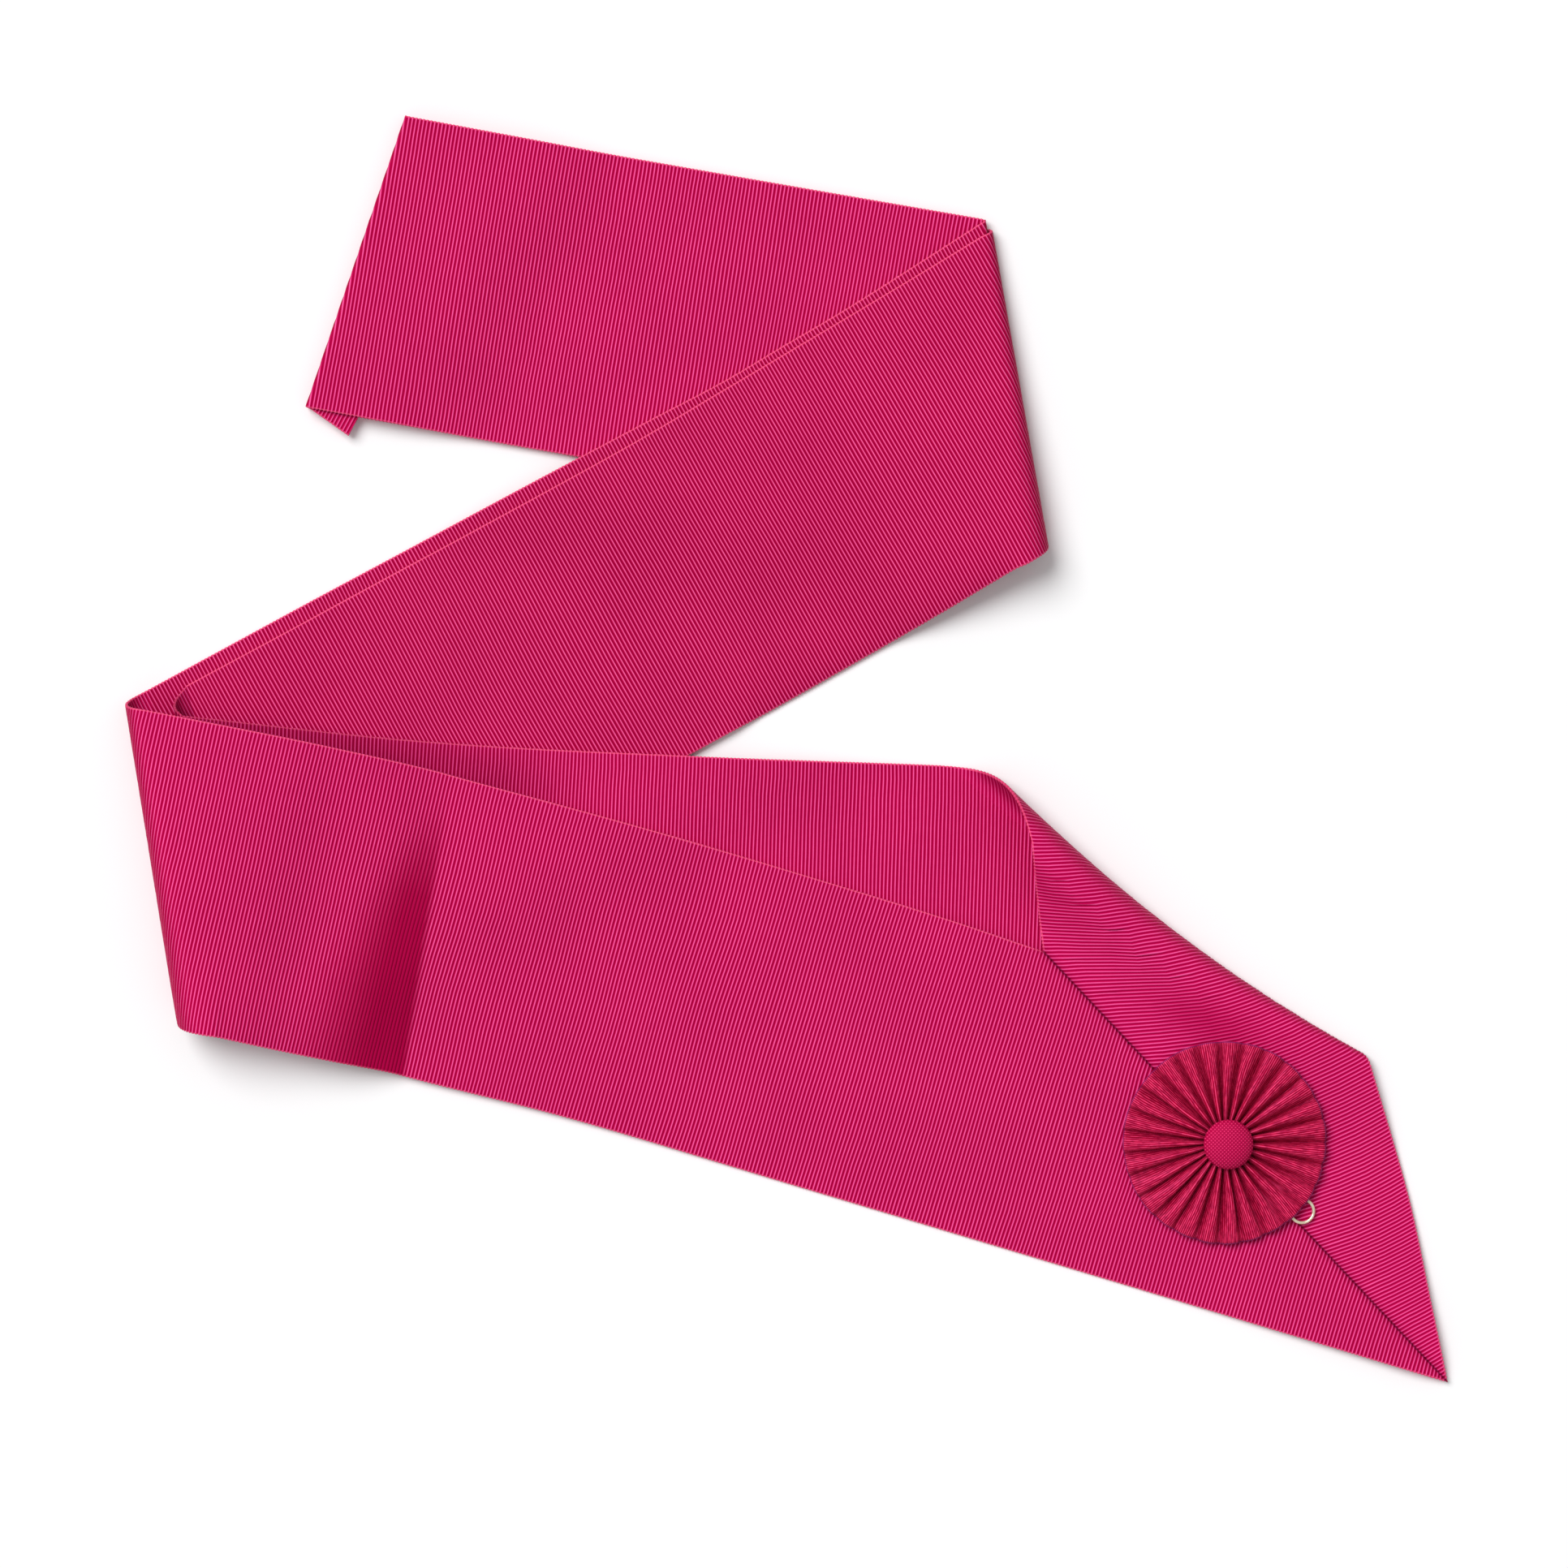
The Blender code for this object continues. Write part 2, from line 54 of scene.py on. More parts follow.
# Each row crosses the ribbon: edge A in millimetres, heading to edge B, lean from square,
# lift at A, lift at B, bow of the middle. Bottom layer first.
stretches = {
    "backShoulder": [
        (-125.7, 210.7, -108.9, 12.6),
        (65.2, 174.0, -82.8, 14.8)],
    "backAllowance": [
        (-125.7, 210.7, -108.9, 12.6),
        (-97.3, 195.6, -118.1, 14.3)],
    "frontAllowance": [
        (-125.7, 210.7, -108.9, 12.6),
        (-97.3, 195.6, -118.1, 14.3)],
    "frontShoulder": [
        (-125.7, 210.7, -108.9, 12.6),
        (-74.7, 201.3, -99.7, 9.0),
        (-13.9, 190.6, -99.7, 8.0),
        (64.7, 177.0, -82.4, 18.6)],
    "frontDiagonal": [
        (-212.5, 20.4, -79.7, 18.4),
        (-148.4, 55.2, -62.1, 0),
        (-45.8, 109.8, -62.1, 0),
        (-20.0, 123.4, -61.5, 0),
        (-2.2, 134.0, -61.0, 0, 0, 0.6),
        (21.7, 148.1, -61.0, 0, 0, 2.6),
        (64.7, 175.4, -82.2, 22.2, 0.6, 3.4)],
    "backDiagonal": [
        (-199.7, 21.7, -76.0, 15.0),
        (-137.6, 55.2, -61.9, 0),
        (-52.5, 101.4, -60.9, 0),
        (-19.1, 121.0, -60.3, 6.0, 0, 0.3),
        (1.5, 133.1, -60.0, 7.0, 0, 5.0),
        (21.7, 145.0, -59.4, 7.0, 0.1, 9.3),
        (65.2, 171.0, -82.5, 25.2, 0.8, 10.5)],
    "backHip": [
        (-200.2, 11.5, -74.4, 0, 5.7, 9.5),
        (-126.8, 3.6, -94.0, 0),
        (-32.3, -1.8, -92.9, 0),
        (40.6, -4.5, -91.5, 0),
        (54.5, -5.2, -35.4, 52.6, 0, 0, 4.5)],
    "hipAllowance": [
        (76.5, -75.0, -46.8, 54.7),
        (83.0, -68.9, -46.8, 58.6),
        (85.0, -67.0, -46.8, 59.2)],
    "backTurned": [
        (80.9, -30.1, -33.4, 42.6, 14.0, 1.2, 7.0),
        (83.0, -48.7, -39.1, 51.4, 4.5, 0.2, 1.5),
        (84.4, -60.5, -44.3, 56.9),
        (85.2, -66.8, -46.8, 59.5)],
    "frontHip": [
        (-212.5, 13.4, -77.9, 25.2, 9.1, 16.5),
        (-165.9, 4.2, -100.5, 10.1, 8.0, 15.0),
        (-145.7, -0.1, -102.9, 11.0, 5.0, 11.5),
        (-127.5, -4.2, -102.8, 10.5, 2.2, 9.0),
        (-114.5, -7.4, -99.9, 9.5, 0.2, 2.2),
        (-111.0, -8.4, -99.1, 9.9, 0, 0.3),
        (-45.8, -26.2, -106.2, 0),
        (35.2, -50.4, -107.0, 0),
        (85.2, -66.8, -46.8, 59.5)],
}
mitred = ("backTurned", "frontHip")     # these two meet edge to edge

# Rows of those tables along which a rib runs straight across.
squareRows = {
    "frontHip": (2, 6, 7),
    "frontDiagonal": (1, 2, 4),
    "frontShoulder": (1, 2),
    "backHip": (1, 2, 3),
    "backDiagonal": (1, 2, 4),
}

# Columns of the mesh from edge A to edge B, closer together at the selvedges.
columns = np.array([0, 0.5, 1.2, 2.4, 5.5, 12, 21, 31, 41, 50,
                    59, 69, 79, 88, 94.5, 97.6, 98.8, 99.5, 100]) / 100
ribRows = (0.0, 0.13, 0.36, 0.64, 0.87)         # rows of the mesh in each rib, from the groove
# Spacing of the sections for the outlines and for the cloth, sections in a roll, and how finely
# the mesh is cut beside a roll or a cut end.
fineness = dict(outlineStep=0.0125, outlinePoints=8, step=0.002, rollParts=29, rollCuts=3,
                rollMargin=0.001, widestAtRoll=0.0015, cutMargin=0.003, thicknesses=60)


def smoothstep(t):
    t = np.clip(t, 0.0, 1.0)
    return t * t * (3.0 - 2.0 * t)


def endsOf(row):
    ax, ay, toward, slant, liftA, liftB, bow = (*row, 0, 0, 0)[:7]
    a = (np.array([ax, ay]) + cloth["shift"]) * mm
    heading = math.radians(toward)
    along = np.array([math.cos(heading), math.sin(heading)])
    b = a + along * cloth["width"] / math.cos(math.radians(slant))
    return [*a, *b, liftA * mm, liftB * mm, bow * mm]


def cubic(places, values, wanted, limited):     # a limited curve never overshoots
    steps = np.diff(values) / np.diff(places)
    inner = []
    for before, after in zip(steps[:-1], steps[1:]):
        if not limited:
            inner.append((before + after) / 2)
        else:
            inner.append(0.0 if before * after <= 0 else 2 * before * after / (before + after))
    slope = np.array([0.0 if limited else steps[0], *inner, 0.0 if limited else steps[-1]])
    row = np.clip(np.searchsorted(places, wanted, side="right") - 1, 0, len(places) - 2)
    width = places[row + 1] - places[row]
    t = (wanted - places[row]) / width
    rise = values[row] * (1 + 2 * t) * (1 - t) ** 2 + values[row + 1] * t * t * (3 - 2 * t)
    lean = slope[row] * t * (1 - t) ** 2 - slope[row + 1] * t * t * (1 - t)
    return rise + width * lean


def plan(rows, step, v):        # points, lifts, and the section at each row
    table = np.array([endsOf(row) for row in rows])
    middles = (table[:, 0:2] + table[:, 2:4]) / 2
    places = np.concatenate([[0.0], np.cumsum(np.linalg.norm(np.diff(middles, axis=0), axis=1))])
    wanted, rowAt = [0.0], [0]
    for row in range(len(rows) - 1):
        here, there = table[row], table[row + 1]
        reach = max(math.dist(here[0:2], there[0:2]), math.dist(here[2:4], there[2:4]))
        parts = max(2, round(reach / step))
        wanted.extend(np.linspace(places[row], places[row + 1], parts + 1)[1:])
        rowAt.append(len(wanted) - 1)
    wanted = np.array(wanted)
    found = [cubic(places, table[:, i], wanted, limited=i > 3) for i in range(7)]
    a, b = np.stack(found[0:2], 1), np.stack(found[2:4], 1)
    liftA, liftB, bow = found[4:7]
    line = b - a
    right = np.stack([line[:, 1], -line[:, 0]], 1) / np.linalg.norm(line, axis=1)[:, None]
    points = a[:, None] + line[:, None] * v[None, :, None]
    points += (right * bow[:, None])[:, None] * (4 * v * (1 - v))[None, :, None]
    lifts = liftA[:, None] * (1 - v) + liftB[:, None] * v
    return points, lifts, rowAt


def outlineOf(rows):
    points, _, _ = plan(rows, fineness["outlineStep"], np.linspace(0, 1, fineness["outlinePoints"]))
    return np.concatenate([points[:, 0], points[-1, 1:-1], points[::-1, -1], points[0, -2:0:-1]])


def depthInside(points, outline):       # positive inside, negative outside
    start, end = outline, np.roll(outline, -1, axis=0)
    line = end - start
    length = np.maximum((line ** 2).sum(1), 1e-12)
    offset = points[:, None] - start[None]
    t = np.clip((offset * line).sum(2) / length, 0.0, 1.0)
    distance = np.linalg.norm(offset - t[..., None] * line, axis=2).min(1)
    x, y = points[:, 0, None], points[:, 1, None]
    straddles = (start[:, 1] > y) != (end[:, 1] > y)
    rise = np.where(line[:, 1] == 0, 1e-12, line[:, 1])
    crosses = straddles & (x < start[:, 0] + (y - start[:, 1]) / rise * line[:, 0])
    return np.where(crosses.sum(1) % 2 == 1, distance, -distance)


outlines = {name: outlineOf(rows) for name, rows in stretches.items()}


def heights(name, points, lifts):       # the layers beneath, each fading past its edge, and the lift
    flat = points.reshape(-1, 2)
    height = np.full(len(flat), cloth["wall"] / 2)
    for other, outline in outlines.items():
        if other == name:
            break
        if name in mitred and other in mitred:
            continue
        past = -depthInside(flat, outline) - cloth["spread"]
        height += (cloth["wall"] + cloth["layerGap"]) * smoothstep(1.0 - past / cloth["ramp"])
    return height.reshape(points.shape[:2]) + lifts


def stretch(name):
    points, lifts, rowAt = plan(stretches[name], fineness["step"], columns)
    return np.concatenate([points, heights(name, points, lifts)[..., None]], axis=2), rowAt


def roll(lower, upper, side):           # side 1 bulges right of A to B, -1 left
    line = (lower[-1] + upper[-1] - lower[0] - upper[0])[:2]
    outward = side * np.array([line[1], -line[0]]) / np.linalg.norm(line)
    radius = (upper[:, 2] - lower[:, 2]) / 2
    turned = []
    for k in range(fineness["rollParts"] + 1):
        share = k / fineness["rollParts"]
        angle = math.pi * (share - 0.5)
        section = lower + (upper - lower) * share
        section[:, :2] += outward * radius[:, None] * math.cos(angle)
        section[:, 2] = lower[:, 2] + radius * (1 + math.sin(angle))
        turned.append(section)
    return np.array(turned)


def placesAlong(sections, pins):
    # Where each point of a section lies along the cloth. At a pin a rib runs straight across, so
    # all points there share one place.
    steps = np.linalg.norm(np.diff(sections, axis=0), axis=2)
    arc = np.concatenate([np.zeros((1, len(columns))), np.cumsum(steps, axis=0)])
    place = arc.copy()
    at = float(arc[pins[0]].mean())
    place[:pins[0] + 1] = at - (arc[pins[0]] - arc[:pins[0] + 1])
    for here, there in zip(pins[:-1], pins[1:]):
        span = float((arc[there] - arc[here]).mean())
        along = arc[here:there + 1] - arc[here]
        place[here:there + 1] = at + along * span / (arc[there] - arc[here])
        at += span
    place[pins[-1]:] = at + arc[pins[-1]:] - arc[pins[-1]]
    return place


def chainOf(half):
    # One half of the loop from its hip seam to its end at the shoulder, as sections in space,
    # with their places along the cloth and the sections at which its pieces and its rolls end.
    found = {name: stretch(half + name) for name in ("Hip", "Diagonal", "Shoulder", "Allowance")}
    hip, diagonal, shoulder, allowance = [found[name][0] for name in found]
    left = roll(diagonal[0], hip[0], 1)[::-1]
    right = roll(shoulder[-1], diagonal[-1], -1)[::-1]
    if half == "front":
        crease = roll(allowance[0], shoulder[0], 1)[::-1]
    else:
        crease = roll(shoulder[0], allowance[0], 1)
    groups = [[hip[::-1], left], [diagonal, right], [shoulder[::-1], crease, allowance]]
    names = ["Hip", "Diagonal", "Shoulder"]
    if half == "back":
        turned, _ = stretch("backTurned")
        groups.insert(0, [turned[::-1], roll(hip[-1], turned[0], -1)[::-1]])
        names.insert(0, "Turned")
    sections, ends, pins, rolls = [], {}, [], []
    for name, group in zip(names, groups):
        first = max(len(sections) - 1, 0)
        if name in found:
            rowAt = found[name][1]
            total = rowAt[-1]
            for row in squareRows.get(half + name, ()):
                place = rowAt[row] if name == "Diagonal" else total - rowAt[row]
                pins.append(first + place)
        for part in group:
            if len(part) == fineness["rollParts"] + 1:
                rolls.append((len(sections) - 1, len(sections) + fineness["rollParts"] - 1))
            sections.extend(part[1:] if sections else part)
        ends[half + name] = (first, len(sections) - 1)
    sections = np.array(sections)
    return dict(sections=sections, place=placesAlong(sections, sorted(pins)), ends=ends, rolls=rolls,
                columns=columns, width=cloth["width"])


def ripple(s, w, seed, size, reach):    # smooth unevenness of the cloth, the same on every run
    rng = np.random.default_rng(seed)
    total = np.zeros_like(s)
    for _ in range(7):
        across, along = rng.uniform(-1, 1), rng.uniform(-1, 1)
        total += np.sin(2 * math.pi * (s * along + w * across) / reach + rng.uniform(0, 6.3))
    return total * size / 3


def inSpace(chain, s, w):       # a point of the flat cloth, s along and w across, in space
    at = chain["columns"]
    v, which = np.unique(np.round(np.clip(w / chain["width"], 0, 1), 7), return_inverse=True)
    out = np.zeros((len(s), 3))
    for n, value in enumerate(v):
        chosen = which == n
        j = min(int(np.searchsorted(at, value, side="right")) - 1, len(at) - 2)
        share = (value - at[j]) / (at[j + 1] - at[j])
        place = chain["place"][:, j] * (1 - share) + chain["place"][:, j + 1] * share
        line = chain["sections"][:, j] * (1 - share) + chain["sections"][:, j + 1] * share
        for axis in range(3):
            out[chosen, axis] = np.interp(s[chosen], place, line[:, axis])
    return out


def cutAlong(bm, chain, edge, keepAbove):
    # Cuts the flat grid along a line from edge to edge of the ribbon, strip by strip.
    rows = bm.faces.layers.int["strip"]
    byStrip = {}
    low, high = edge.min() - fineness["cutMargin"], edge.max() + fineness["cutMargin"]
    for face in bm.faces:
        if low <= face.verts[0].co.x <= high:
            byStrip.setdefault(face[rows], []).append(face)
    for j, faces in byStrip.items():
        w0, w1 = chain["columns"][j] * chain["width"], chain["columns"][j + 1] * chain["width"]
        start, end = Vector((edge[j], w0, 0)), Vector((edge[j + 1], w1, 0))
        line = end - start
        normal = Vector((line.y, -line.x, 0)).normalized()
        geom = set(faces)
        for face in faces:
            geom.update(face.edges)
            geom.update(face.verts)
        bmesh.ops.bisect_plane(bm, geom=list(geom), dist=1e-7, plane_co=start, plane_no=normal)
    gone = []
    for face in bm.faces:
        middle = face.calc_center_median()
        limit = float(np.interp(middle.y / chain["width"], chain["columns"], edge))
        if (middle.x > limit) != keepAbove:
            gone.append(face)
    bmesh.ops.delete(bm, geom=gone, context="FACES")


def finerAtRolls(bm, chain):    # narrower faces where the cloth turns over, so the turn stays round
    strips = bm.faces.layers.int["strip"]
    across = set()
    for start, end in chain["rolls"]:
        startAt, endAt = chain["place"][start], chain["place"][end]
        for face in bm.faces:
            j = face[strips]
            low = min(startAt[j], startAt[j + 1]) - fineness["rollMargin"]
            high = max(endAt[j], endAt[j + 1]) + fineness["rollMargin"]
            if low < face.calc_center_median().x < high:
                for edge in face.edges:
                    if abs(edge.verts[0].co.y - edge.verts[1].co.y) > fineness["widestAtRoll"]:
                        across.add(edge)
    if across:
        bmesh.ops.subdivide_edges(bm, edges=list(across), cuts=fineness["rollCuts"],
                                  use_grid_fill=True)


# The ribs across the ribbon and the beads along its selvedges.
relief = dict(roundness=0.62, uneven=0.06, unevenReach=0.004, bead=0.12, beadAt=0.0007,
              beadWidth=0.0006, edge=0.0002, edgeShare=0.8, least=0.3)


def ribProfile(s, w, seed):     # thickness of the cloth, as a share of its crests
    phase = (s / cloth["ribPitch"]) % 1.0
    top = np.clip(np.sin(math.pi * phase), 0, 1) ** relief["roundness"]
    low = cloth["groove"] / cloth["crest"]
    share = low + (1 - low) * top
    edge = np.minimum(w, cloth["width"] - w)
    bead = np.exp(-((edge - relief["beadAt"]) / relief["beadWidth"]) ** 2)
    waves = ripple(s, w, seed, 1, relief["unevenReach"])
    share = share * (1 + relief["uneven"] * waves) + relief["bead"] * bead
    share = np.where(edge < relief["edge"], share * relief["edgeShare"], share)
    return np.clip(share, relief["least"], 1)


# The slanting seam at the hip lies in a shallow valley, whose banks rise towards the point.
seam = dict(line=endsOf(stretches["frontHip"][-1])[0:4], sharp=0.00034, sharpReach=0.0016,
            soft=0.00012, softReach=0.006, rise=0.0016, riseReach=0.026, riseGap=0.0045,
            fineReach=0.010, longest=0.0015, fineStep=0.0012)


def acrossSeam(points):         # how far to one side of the seam
    a, b = np.array(seam["line"][0:2]), np.array(seam["line"][2:4])
    normal = np.array([a[1] - b[1], b[0] - a[0]]) / np.linalg.norm(b - a)
    return (points[:, :2] - a) @ normal


def finerAtSeam(bm, chain, startAt):    # shorter faces beside the seam, so the cloth can bend into it
    strips = bm.faces.layers.int["strip"]
    byStrip = [[face for face in bm.faces if face[strips] == j]
               for j in range(len(chain["columns"]) - 1)]
    for faces in byStrip:
        along = set()
        for face in faces:
            middle = face.calc_center_median()
            start = np.interp(middle.y / chain["width"], chain["columns"], startAt)
            if middle.x - start < seam["fineReach"]:
                along.update(edge for edge in face.edges
                             if abs(edge.verts[0].co.x - edge.verts[1].co.x) < 1e-5)
        longest = max((edge.calc_length() for edge in along), default=0)
        if longest > seam["longest"]:
            cuts = max(1, round(longest / seam["fineStep"]) - 1)
            bmesh.ops.subdivide_edges(bm, edges=list(along), cuts=cuts, use_grid_fill=True)


def linkNew(name, mesh, material):
    mesh.materials.append(material)
    piece = bpy.data.objects.new(name, mesh)
    bpy.context.scene.collection.objects.link(piece)
    return piece


def flatGrid(chain, low, high):         # rows of constant s, a few in each rib
    at = chain["columns"]
    first = math.floor(low / cloth["ribPitch"]) - 1
    last = math.ceil(high / cloth["ribPitch"]) + 1
    places = np.array([(rib + share) * cloth["ribPitch"]
                       for rib in range(first, last) for share in ribRows])
    bm = bmesh.new()
    bmesh.ops.create_grid(bm, x_segments=len(places) - 1, y_segments=len(at) - 1, size=0.5)
    strip = bm.faces.layers.int.new("strip")
    for face in bm.faces:
        face[strip] = min(round((vert.co.y + 0.5) * (len(at) - 1)) for vert in face.verts)
    for vert in bm.verts:
        row = round((vert.co.x + 0.5) * (len(places) - 1))
        column = round((vert.co.y + 0.5) * (len(at) - 1))
        vert.co = (places[row], at[column] * chain["width"], 0)
    return bm


def asSheet(piece, flatCo, seed):
    mesh = piece.data
    uv = mesh.uv_layers.new(name="cut")
    corner = np.empty(len(mesh.loops), dtype=np.int32)
    mesh.loops.foreach_get("vertex_index", corner)
    uv.data.foreach_set("uv", flatCo[corner][:, :2].ravel())
    share = ribProfile(flatCo[:, 0], flatCo[:, 1], seed)
    group = piece.vertex_groups.new(name="thickness")
    levels = np.round(share * fineness["thicknesses"]).astype(int)
    for level in np.unique(levels):
        chosen = np.nonzero(levels == level)[0].tolist()
        group.add(chosen, level / fineness["thicknesses"], "REPLACE")
    wall = piece.modifiers.new("wall", "SOLIDIFY")
    wall.thickness = cloth["crest"]
    wall.offset = 0.0
    wall.vertex_group = "thickness"
    mesh.polygons.foreach_set("use_smooth", np.ones(len(mesh.polygons), dtype=bool))


def flatPiece(chain, startAt, endAt, atSeam):       # one piece of cloth laid flat, cut at both ends
    bm = flatGrid(chain, startAt.min(), endAt.max())
    cutAlong(bm, chain, startAt, True)
    cutAlong(bm, chain, endAt, False)
    finerAtRolls(bm, chain)
    if atSeam:
        finerAtSeam(bm, chain, startAt)
    for edge in bm.edges:       # the cut ends stay crisp, so that two pieces meet without a line
        low, high = sorted(vert.co.y for vert in edge.verts)
        along = high - low < 1e-6 and (low < 1e-6 or low > chain["width"] - 1e-6)
        edge.smooth = not (edge.is_boundary and not along)
    return bm


# Long and short waves move the cloth along itself, fading at its cut ends, and the selvedge
# dips in at each groove.
uneven = dict(wave=0.00030, waveReach=0.06, fine=0.00006, fineReach=0.012, fade=0.01,
              dip=0.00022, dipReach=0.0007)
# Where the cloth tilts, the highlight painted on its ribs dulls and then a painted shade darkens all
# of it. Degrees.
tiltShading = dict(dull=0.5, dullFrom=25, dullOver=30, dark=0.2, darkFrom=20, darkOver=40)


def folded(chain, flatCo, startAt, endAt, seed):    # where each point of the flat cloth lies in space
    s, w = flatCo[:, 0].copy(), flatCo[:, 1].copy()
    v = w / chain["width"]
    inner = np.clip(np.minimum(s - np.interp(v, chain["columns"], startAt),
                               np.interp(v, chain["columns"], endAt) - s) / uneven["fade"], 0, 1)
    moved = s + (ripple(s, w, seed, uneven["wave"], uneven["waveReach"])
                 + ripple(s, w, seed + 50, uneven["fine"], uneven["fineReach"])) * inner
    dip = uneven["dip"] * (1 - np.sin(math.pi * (s / cloth["ribPitch"] % 1.0)))
    atA = np.clip(1 - w / uneven["dipReach"], 0, 1)
    atB = np.clip(1 - (chain["width"] - w) / uneven["dipReach"], 0, 1)
    return inSpace(chain, moved, w + (dip * atA - dip * atB))


def carry(mesh, name, values):
    mesh.attributes.new(name, "FLOAT", "POINT").data.foreach_set("value", values)


def ribbonPiece(name, chain, key, node, material, seed, shape=None):
    start, end = chain["ends"][key]
    startAt, endAt = chain["place"][start], chain["place"][end]
    atSeam = shape in (besideRosette, intoValley)
    bm = flatPiece(chain, startAt, endAt, atSeam)
    area = sum(face.calc_area() for face in bm.faces)
    mesh = bpy.data.meshes.new(name)
    bm.to_mesh(mesh)
    bm.free()
    flatCo = np.empty(len(mesh.vertices) * 3)
    mesh.vertices.foreach_get("co", flatCo)
    flatCo = flatCo.reshape(-1, 3)
    points = folded(chain, flatCo, startAt, endAt, seed)
    shade, gleam = np.ones(len(points)), np.ones(len(points))
    if shape:
        points, shade, gleam = shape(points, chain["width"] - flatCo[:, 1])
    mesh.vertices.foreach_set("co", points.ravel())
    mesh.update()
    # Painted light by tilt: the painted highlight dulls and a painted shade darkens the cloth.
    facing = np.empty(len(points) * 3)
    mesh.vertices.foreach_get("normal", facing)
    tilt = np.degrees(np.arccos(np.clip(np.abs(facing.reshape(-1, 3)[:, 2]), 0, 1)))
    gleam = gleam * (1 - tiltShading["dull"] * smoothstep((tilt - tiltShading["dullFrom"]) / tiltShading["dullOver"]))
    shade = shade * (1 - tiltShading["dark"] * smoothstep((tilt - tiltShading["darkFrom"]) / tiltShading["darkOver"]))
    carry(mesh, "shade", shade)
    carry(mesh, "gleam", gleam)
    carry(mesh, "fromSeam", acrossSeam(points) if atSeam else np.ones(len(points)))
    mesh.update()
    piece = linkNew(name, mesh, material)
    asSheet(piece, flatCo, seed)
    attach(piece, "sash")
    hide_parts(node)


def node(tree, kind, **values):
    made = tree.nodes.new("ShaderNode" + kind)
    for name, value in values.items():
        setattr(made, name, value)
    return made


def maths(tree, operation, *inputs):
    made = node(tree, "Math", operation=operation)
    for socket, value in zip(made.inputs, inputs):
        if isinstance(value, (int, float)):
            socket.default_value = value
        else:
            tree.links.new(value, socket)
    return made.outputs[0]


def mixed(tree, factor, first, second, blend="MIX"):
    made = node(tree, "Mix", data_type="RGBA", blend_type=blend)
    for socket, value in ((made.inputs[0], factor), (made.inputs[6], first), (made.inputs[7], second)):
        if isinstance(value, (int, float)):
            socket.default_value = value
        elif isinstance(value, tuple):
            socket.default_value = (*value, 1.0)
        else:
            tree.links.new(value, socket)
    return made.outputs[2]


def ramp(tree, factor, stops):
    made = node(tree, "ValToRGB")
    while len(made.color_ramp.elements) < len(stops):
        made.color_ramp.elements.new(0.5)
    for element, (place, colour) in zip(made.color_ramp.elements, stops):
        element.position = place
        element.color = (*colour, 1.0)
    tree.links.new(factor, made.inputs[0])
    return made.outputs[0]


def newMaterial(name, roughness, sheen=0.0, sheenRoughness=0.4, sheenTint=(1, 1, 1), metallic=0.0,
                specular=0.5, specularTint=(1, 1, 1)):
    material = bpy.data.materials.new(name)
    material.use_nodes = True
    shader = material.node_tree.nodes["Principled BSDF"]
    shader.inputs["Roughness"].default_value = roughness
    shader.inputs["Metallic"].default_value = metallic
    shader.inputs["Sheen Weight"].default_value = sheen
    shader.inputs["Sheen Roughness"].default_value = sheenRoughness
    shader.inputs["Sheen Tint"].default_value = (*sheenTint, 1.0)
    shader.inputs["Specular IOR Level"].default_value = specular
    shader.inputs["Specular Tint"].default_value = (*specularTint, 1.0)
    return material, material.node_tree, shader


# Colours of the ribbon: darker in the grooves; the crest colour is a painted highlight on each rib;
# the selvedge is lighter.
ribbonColours = dict(groove=(0.37, 0.0, 0.038), side=(0.56, 0.0005, 0.076),
                     crest=(1.0, 0.118, 0.39), selvedge=(0.95, 0.10, 0.24))


# Painted shade: the colour is darkened by a shade factor, each channel by its own power.
def shadedBy(tree, base, dark, powers):     # deep places keep their colour as they darken
    shade = node(tree, "CombineXYZ")
    for socket, power in zip(shade.inputs, powers):
        tree.links.new(maths(tree, "POWER", dark, power), socket)
    return mixed(tree, 1.0, base, shade.outputs[0], "MULTIPLY")


# The finish of the ribbon: clouds and threads are the scales of its unevenness, and seamReach is how
# far the painted shade beside the seam reaches.
silkLook = dict(roughness=0.42, sheen=0.04, sheenRoughness=0.3, sheenTint=(0.8, 0.1, 0.8),
                specular=0.15, specularTint=(1.0, 0.10, 0.40))
weaveLook = dict(clouds=28.0, threads=260.0, warpPitch=0.00030, selvedge=0.00045, seamReach=0.004)


